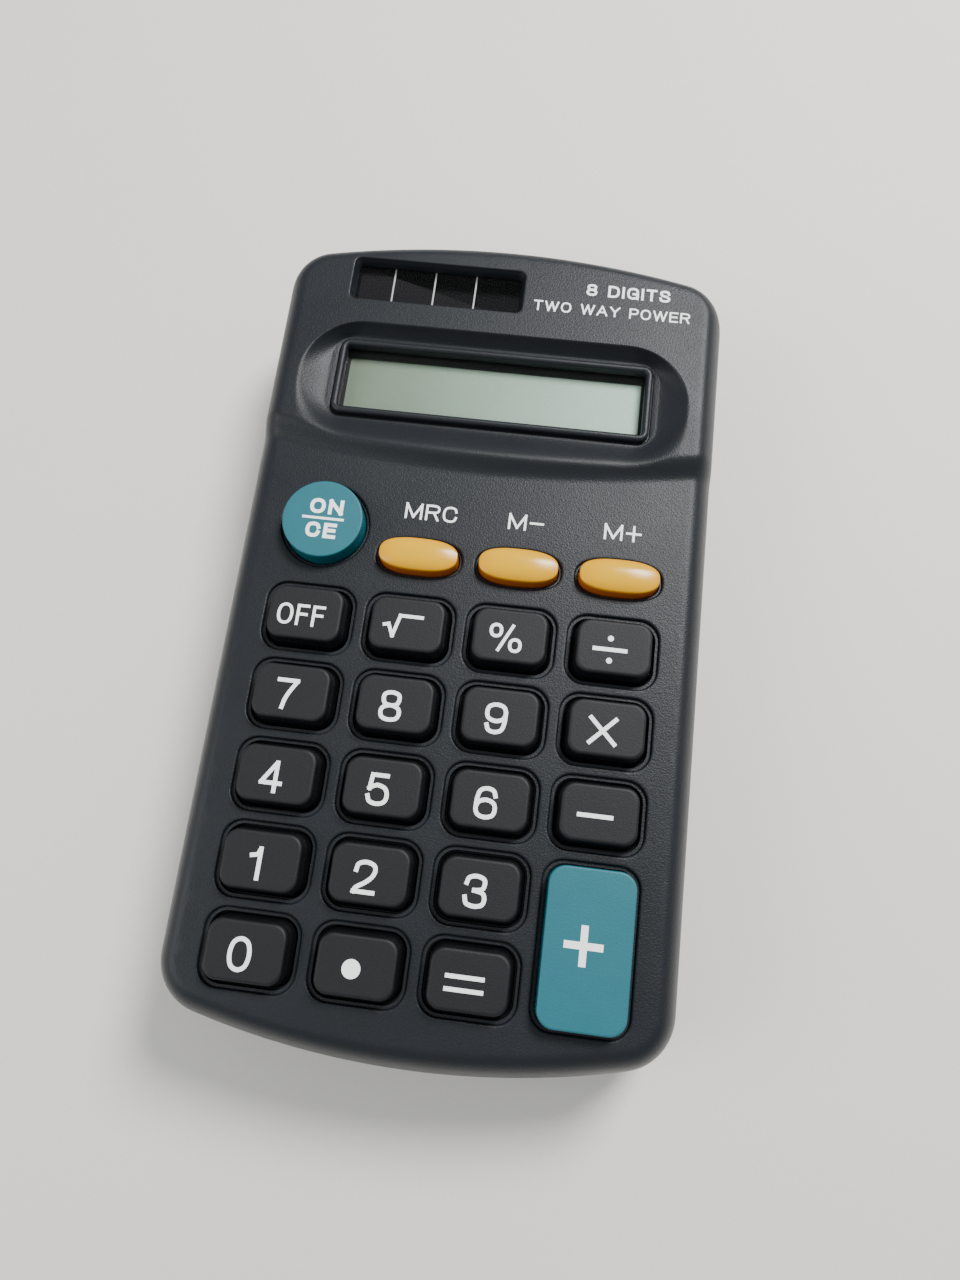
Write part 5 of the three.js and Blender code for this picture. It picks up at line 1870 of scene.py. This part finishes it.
class CALCULATOR_OT_legends(PieceOperator, bpy.types.Operator):
    """White legends on the keys and lines printed on the face"""

    bl_idname = "calculator.legends"
    bl_label = "Legends"

    def execute(self, context):
        settings = context.scene.calculator_legends
        digit_height = settings.height / MM
        digit_width = settings.width / MM
        stroke = settings.stroke / MM
        sizes = {
            "OFF": (6.2, 2.85), "root": (5.15, 3.2), "%": (4.3, 3.7), "divide": (4.4, 3.9),
            "times": (3.6, 3.6), "-": (4.4, stroke), "=": (4.65, 3.4), ".": (1, 1), "1": (2.0, digit_height),
        }
        weights = {".": 1.55, "OFF": 0.38, "root": 0.45, "%": 0.42, "=": 0.5}
        for node, text in SQUARE_KEYS.items():
            x, y = key_middle(node)
            width, height = sizes.get(text, (digit_width, digit_height))
            shift_x, shift_y = LEGEND_SHIFT
            line = (text, width, height, weights.get(text, stroke), x + shift_x, y + shift_y)
            legend(node + "_legend", node + "_cap", [line], top_of(node))

        x, y = key_middle("key_plus")
        lines = [("+", 4.65, 4.65, 0.85, x - 0.5, y + 0.3)]
        legend("key_plus_legend", "key_plus_cap", lines, top_of("key_plus"))
        x, y = key_middle("key_on_clear")
        lines = [
            ("ON", 4.5, 2.15, 0.5, x + 0.35, y + 1.7),
            ("-", 5.6, 0.34, 0.34, x + 0.1, y),
            ("CE", 4.1, 2.15, 0.5, x + 0.1, y - 1.7),
        ]
        legend("key_on_clear_legend", "key_on_clear_cap", lines, top_of("key_on_clear"))

        label_y = key_middle("key_memory_recall")[1] + 6.75
        widths_and_shifts = [(7.1, 0.75), (4.8, 0.35), (5.0, 0.05)]
        for (node, text), (width, shift) in zip(MEMORY_KEYS.items(), widths_and_shifts):
            x = key_middle(node)[0] + shift
            line = (text, width, 2.3, 0.3, x, label_y - 0.15)
            legend(node + "_label", "casing", [line], KEYPAD_FACE)
        capacity = [("8 DIGITS", 11.9, 1.9, 0.34, 17.65, 49.25)]
        legend("capacity_line", "casing", capacity, DISPLAY_FACE)
        power = [("TWO WAY POWER", 22.1, 1.65, 0.24, 15.5, 46.0)]
        legend("power_line", "casing", power, DISPLAY_FACE)
        return {"FINISHED"}


class CALCULATOR_OT_membrane(PieceOperator, bpy.types.Operator):
    """Rubber membrane: a sheet, and a dome under each key"""

    bl_idname = "calculator.membrane"
    bl_label = "Key membrane"

    def execute(self, context):
        material = rubber("membrane rubber", (0.27, 0.29, 0.3))
        middle, size = place("key_membrane")
        low = middle.z - size.z / 2
        sheet_top = low + 0.8

        def ring_at(grow):
            return rounded_rectangle(size.x + 2 * grow, size.y + 2 * grow, 1.5 + grow, middle.xy)

        sheet = Shape()
        sheet.chain([
            (ring_at(-0.12), low),
            (ring_at(0), low + 0.12),
            (ring_at(0), sheet_top - 0.12),
            (ring_at(-0.12), sheet_top),
        ], start_cap=True, end_cap=True)
        obj = sheet.build("membrane_sheet", material)
        put(obj, "casing", "rubber", "key_membrane")

        dome_top = low + size.z
        for node in ALL_KEYS:
            scale = 0.62 if node in MEMORY_KEYS else 1
            profile = [
                (1.2, dome_top - 1),
                (1.8, dome_top - 1.05),
                (2.3, sheet_top + 0.1),
                (2.5, sheet_top - 0.3),
                (3.3, sheet_top - 0.3),
                (3.2, sheet_top + 0.06),
                (2.9, sheet_top + 0.45),
                (2.25, dome_top - 0.45),
                (2.1, dome_top - 0.15),
                (1.9, dome_top - 0.02),
                (1.6, dome_top),
            ]
            levels = [(circle(radius * scale), height) for radius, height in profile]
            dome = Shape()
            dome.chain(levels, start_cap=True, end_cap=True)
            x, y = key_middle(node)
            placed = Shape()
            placed.join(dome, (x, y, 0))
            obj = placed.build(node + "_dome", material, sharp=60)
            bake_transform(obj)
        return {"FINISHED"}


class CALCULATOR_OT_board(PieceOperator, bpy.types.Operator):
    """Circuit board and the parts on it"""

    bl_idname = "calculator.board"
    bl_label = "Circuit board"

    def execute(self, context):
        coat_node("circuit_board", board_mask())
        epoxy = smooth_finish("epoxy drop", (0.012, 0.012, 0.013), 0.25, mottle=1.5, depth=0.02)
        sleeve = smooth_finish("capacitor sleeve", (0.02, 0.035, 0.12), 0.3)
        body = smooth_finish("resistor body", (0.55, 0.4, 0.22), 0.4, mottle=0.8)
        # each part's node, material, slot and how many times it is rounded
        parts = [
            ("chip_blob", epoxy, "epoxy", 1),
            ("capacitor", sleeve, "capacitor_sleeve", 0),
            ("resistor_1", body, "resistor_body", 0),
            ("resistor_2", body, "resistor_body", 0),
            ("diode", epoxy, "epoxy", 0),
        ]
        for node, material, slot, levels in parts:
            obj = smoothed_copy(node, node + "_part", material, levels)
            put(obj, "casing", slot, node)
        return {"FINISHED"}


class CALCULATOR_OT_battery(PieceOperator, bpy.types.Operator):
    """Battery, its coil spring and its flat contact"""

    bl_idname = "calculator.battery"
    bl_label = "Battery and contacts"

    def execute(self, context):
        radius = BATTERY_SIZE.y / 2
        low = BATTERY_MIDDLE.x - BATTERY_SIZE.x / 2
        high = BATTERY_MIDDLE.x + BATTERY_SIZE.x / 2
        body_end = high - BUTTON_HEIGHT
        turn = Matrix.Rotation(math.pi / 2, 4, "Y")
        lie = Matrix.Translation((0, BATTERY_MIDDLE.y, BATTERY_MIDDLE.z)) @ turn
        # the can's profile from its flat end to the top of its button
        profile = [
            (1.0, low + 0.02), (5.4, low + 0.02), (5.7, low + 0.1), (6.3, low + 0.1), (6.75, low + 0.3),
            (radius - 0.12, low + 0.75), (radius, low + 0.95), (radius, body_end - 0.95),
            (radius - 0.12, body_end - 0.75), (6.75, body_end - 0.3), (6.2, body_end - 0.08),
            (5.5, body_end - 0.02), (3.4, body_end), (2.75, body_end + 0.1), (2.68, body_end + 0.35),
            (2.66, high - 0.2), (2.5, high - 0.04), (2.2, high), (0.8, high),
        ]
        can = Shape()
        can.chain([(circle(r, count=72), x) for r, x in profile], start_cap=True, end_cap=True)
        obj = can.moved(lie).build("battery_can", battery_wrap(), sharp=50)
        put(obj, "casing", "battery_can", "battery")

        steel = brushed_metal("plated steel", (0.62, 0.62, 0.6))
        # the coil leans its first turn on its plate, and narrows towards the cell
        turns, wire = 2.5, 0.3
        plate_x = SPRING_MIDDLE.x - SPRING_SIZE.x / 2 + 0.2
        reach = SPRING_SIZE.x - 0.4 - 2 * wire
        coil = []
        for t in np.linspace(0, 1, 40):
            angle, r = t * turns * 2 * math.pi, 3 - 0.8 * t
            x = plate_x + 0.2 + wire * 0.9 + t * reach
            coil.append((x, BATTERY_MIDDLE.y + r * math.cos(angle), BATTERY_MIDDLE.z + r * math.sin(angle)))
        mesh = tube("coil", coil, wire, 160, steel, 12)
        spring = finished("battery_coil", mesh, steel)
        put(spring, "casing", "plated_steel", "battery_spring")

        button_x = PLATE_MIDDLE.x + PLATE_SIZE.x / 2 - 0.2
        plates = [("spring_plate", plate_x, ()), ("button_plate", button_x, ("battery_plate",))]
        for name, x, nodes in plates:
            plate = box_shape(10, 9, -0.2, 0.2, soft=0.08)
            if nodes:
                cup = Shape()
                depth = PLATE_SIZE.x - 0.4
                cup.chain([
                    (circle(1.2), -depth - 0.2), (circle(1.55), -depth - 0.12), (circle(1.7), -depth + 0.1),
                    (circle(2.3), -0.6), (circle(2.7), -0.2), (circle(2.7), 0.1),
                ], start_cap=True, end_cap=True)
                plate.join(cup)
            where = Matrix.Translation((x, BATTERY_MIDDLE.y, BATTERY_MIDDLE.z)) @ turn
            obj = plate.moved(where).build(name, steel)
            put(obj, "casing", "plated_steel", *nodes)
        return {"FINISHED"}


class CALCULATOR_OT_wires(PieceOperator, bpy.types.Operator):
    """Insulated wires of the battery and the solar panel"""

    bl_idname = "calculator.wires"
    bl_label = "Wires"

    def execute(self, context):
        red = smooth_finish("red insulation", (0.42, 0.016, 0.012), 0.38, mottle=1.2)
        black = smooth_finish("black insulation", (0.012, 0.012, 0.012), 0.38, mottle=1.2)
        for node in ("battery_wire_red", "battery_wire_black", "solar_wire_red", "solar_wire_black"):
            material = red if node.endswith("red") else black
            obj = smoothed_copy(node, node + "_lead", material, 1)
            put(obj, "casing", "wire_red" if node.endswith("red") else "wire_black", node)
        return {"FINISHED"}


class CALCULATOR_OT_screws(PieceOperator, bpy.types.Operator):
    """Eight cross-head screws, four through the rear shell and four in the board"""

    bl_idname = "calculator.screws"
    bl_label = "Screws"

    def execute(self, context):
        steel = brushed_metal("screw steel", (0.5, 0.5, 0.48), 0.32)
        # each kind's places, seat, head radius, head height, shaft radius and length
        kinds = [
            ("case", CASE_SCREWS, SCREW_SEAT, 1.6, 1.3, 0.9, 9.5),
            ("board", BOARD_SCREWS, bottom_of("circuit_board"), 1.5, 1.0, 0.75, 4.0),
        ]
        for kind, places, seat, head, height, shaft, length in kinds:
            pattern = screw_shape(head, height, shaft, length)
            mesh = copied(kind + " screws", pattern, [(x, y, seat) for x, y in places], steel)
            obj = finished(kind + "_screws", mesh, steel, 35)
            put(obj, "casing", "plated_steel", *[f"{kind}_screw_{i}" for i in range(1, 5)])
        return {"FINISHED"}


def screw_shape(head, height, shaft, length):
    """A screw with its head down, a cross recess in the head and ribs for its thread."""
    shape = Shape()
    count = 40
    cross = []
    for i in range(count):
        angle = 2 * math.pi * i / count
        arm = abs(math.cos(2 * angle)) ** 3
        reach = head * (0.2 + 0.42 * arm)
        cross.append((math.cos(angle) * reach, math.sin(angle) * reach))
    cross = np.array(cross)

    def around(radius):
        return circle(radius, count=count)

    levels = [
        (cross * 0.25, -height + 0.6), (cross * 0.8, -height + 0.45), (cross, -height),
        (around(head * 0.7), -height), (around(head * 0.86), -height + 0.12),
        (around(head * 0.97), -height * 0.45), (around(head), -0.12), (around(head), 0), (around(shaft), 0),
    ]
    thread = 0
    z = 0.5
    while z < length - 0.9:
        levels.append((around(shaft if thread % 2 else shaft * 0.82), z))
        thread += 1
        z += THREAD_STEP
    levels += [(around(shaft * 0.75), length - 0.6), (around(shaft * 0.3), length)]
    shape.chain(levels, start_cap=True, end_cap=True)
    return shape


class CALCULATOR_OT_studio(PieceOperator, bpy.types.Operator):
    """Pale floor, soft lights and the camera"""

    bl_idname = "calculator.studio"
    bl_label = "Studio"

    def execute(self, context):
        settings = context.scene.calculator_studio
        floor = Shape()
        ring = rounded_rectangle(2 * FLOOR_REACH, 2 * FLOOR_REACH, FLOOR_REACH / 2, side_steps=1)
        floor.chain([(ring, -3), (ring, FLOOR_TOP)], start_cap=True, end_cap=True)
        obj = floor.build("studio_floor", floor_paper())

        camera = bpy.data.cameras.new("Camera")
        camera.sensor_width = SENSOR
        camera.lens = LENS
        camera.clip_start = 0.005
        camera.clip_end = 10
        seat = bpy.data.objects.new("Camera", camera)
        axes = Matrix((CAMERA_RIGHT, [-c for c in CAMERA_DOWN], [-c for c in CAMERA_AHEAD])).transposed()
        seat.matrix_world = Matrix.Translation(Vector(CAMERA_PLACE) * MM) @ axes.to_4x4()
        context.scene.collection.objects.link(seat)
        context.scene.camera = seat

        self.light(context, "Main light", *MAIN_LIGHT, settings.key_power)
        self.light(context, "Fill light", *FILL_LIGHT, settings.fill_power)
        world = bpy.data.worlds.new("Surroundings")
        context.scene.world = world
        world.use_nodes = True
        background = world.node_tree.nodes["Background"]
        background.inputs["Color"].default_value = (0.9, 0.95, 1.0, 1)
        background.inputs["Strength"].default_value = settings.world
        return {"FINISHED"}

    @staticmethod
    def light(context, name, at, width, power):
        lamp = bpy.data.lights.new(name, "AREA")
        lamp.shape = "DISK"
        lamp.size = width * MM
        lamp.energy = power
        obj = bpy.data.objects.new(name, lamp)
        obj.location = [c * MM for c in at]
        obj.rotation_euler = (Vector(LIGHT_TARGET) - Vector(at)).to_track_quat("-Z", "Y").to_euler()
        context.scene.collection.objects.link(obj)


PIECE_OPERATORS = (
    CALCULATOR_OT_front_shell,
    CALCULATOR_OT_rear_shell,
    CALCULATOR_OT_battery_door,
    CALCULATOR_OT_display,
    CALCULATOR_OT_solar_strip,
    CALCULATOR_OT_number_keys,
    CALCULATOR_OT_teal_keys,
    CALCULATOR_OT_memory_keys,
    CALCULATOR_OT_legends,
    CALCULATOR_OT_membrane,
    CALCULATOR_OT_board,
    CALCULATOR_OT_battery,
    CALCULATOR_OT_wires,
    CALCULATOR_OT_screws,
    CALCULATOR_OT_studio,
)
SETTINGS = {
    "calculator_casing": CasingSettings,
    "calculator_keys": KeySettings,
    "calculator_legends": LegendSettings,
    "calculator_display": DisplaySettings,
    "calculator_solar": SolarSettings,
    "calculator_door": DoorSettings,
    "calculator_studio": StudioSettings,
}


class CALCULATOR_PT_pieces(bpy.types.Panel):
    """Lists the pieces"""

    bl_label = "Calculator"
    bl_idname = "CALCULATOR_PT_pieces"
    bl_space_type = "VIEW_3D"
    bl_region_type = "UI"
    bl_category = "Calculator"

    def draw(self, context):
        for operator in PIECE_OPERATORS:
            self.layout.operator(operator.bl_idname)


def register():
    for kind in (*SETTINGS.values(), *PIECE_OPERATORS, CALCULATOR_PT_pieces):
        bpy.utils.register_class(kind)
    for name, kind in SETTINGS.items():
        setattr(bpy.types.Scene, name, PointerProperty(type=kind))


def unregister():
    for name in SETTINGS:
        delattr(bpy.types.Scene, name)
    for kind in reversed((*SETTINGS.values(), *PIECE_OPERATORS, CALCULATOR_PT_pieces)):
        bpy.utils.unregister_class(kind)


def main():
    register()
    for operator in PIECE_OPERATORS:
        group, name = operator.bl_idname.split(".")
        getattr(getattr(bpy.ops, group), name)()


if __name__ == "__main__":
    main()
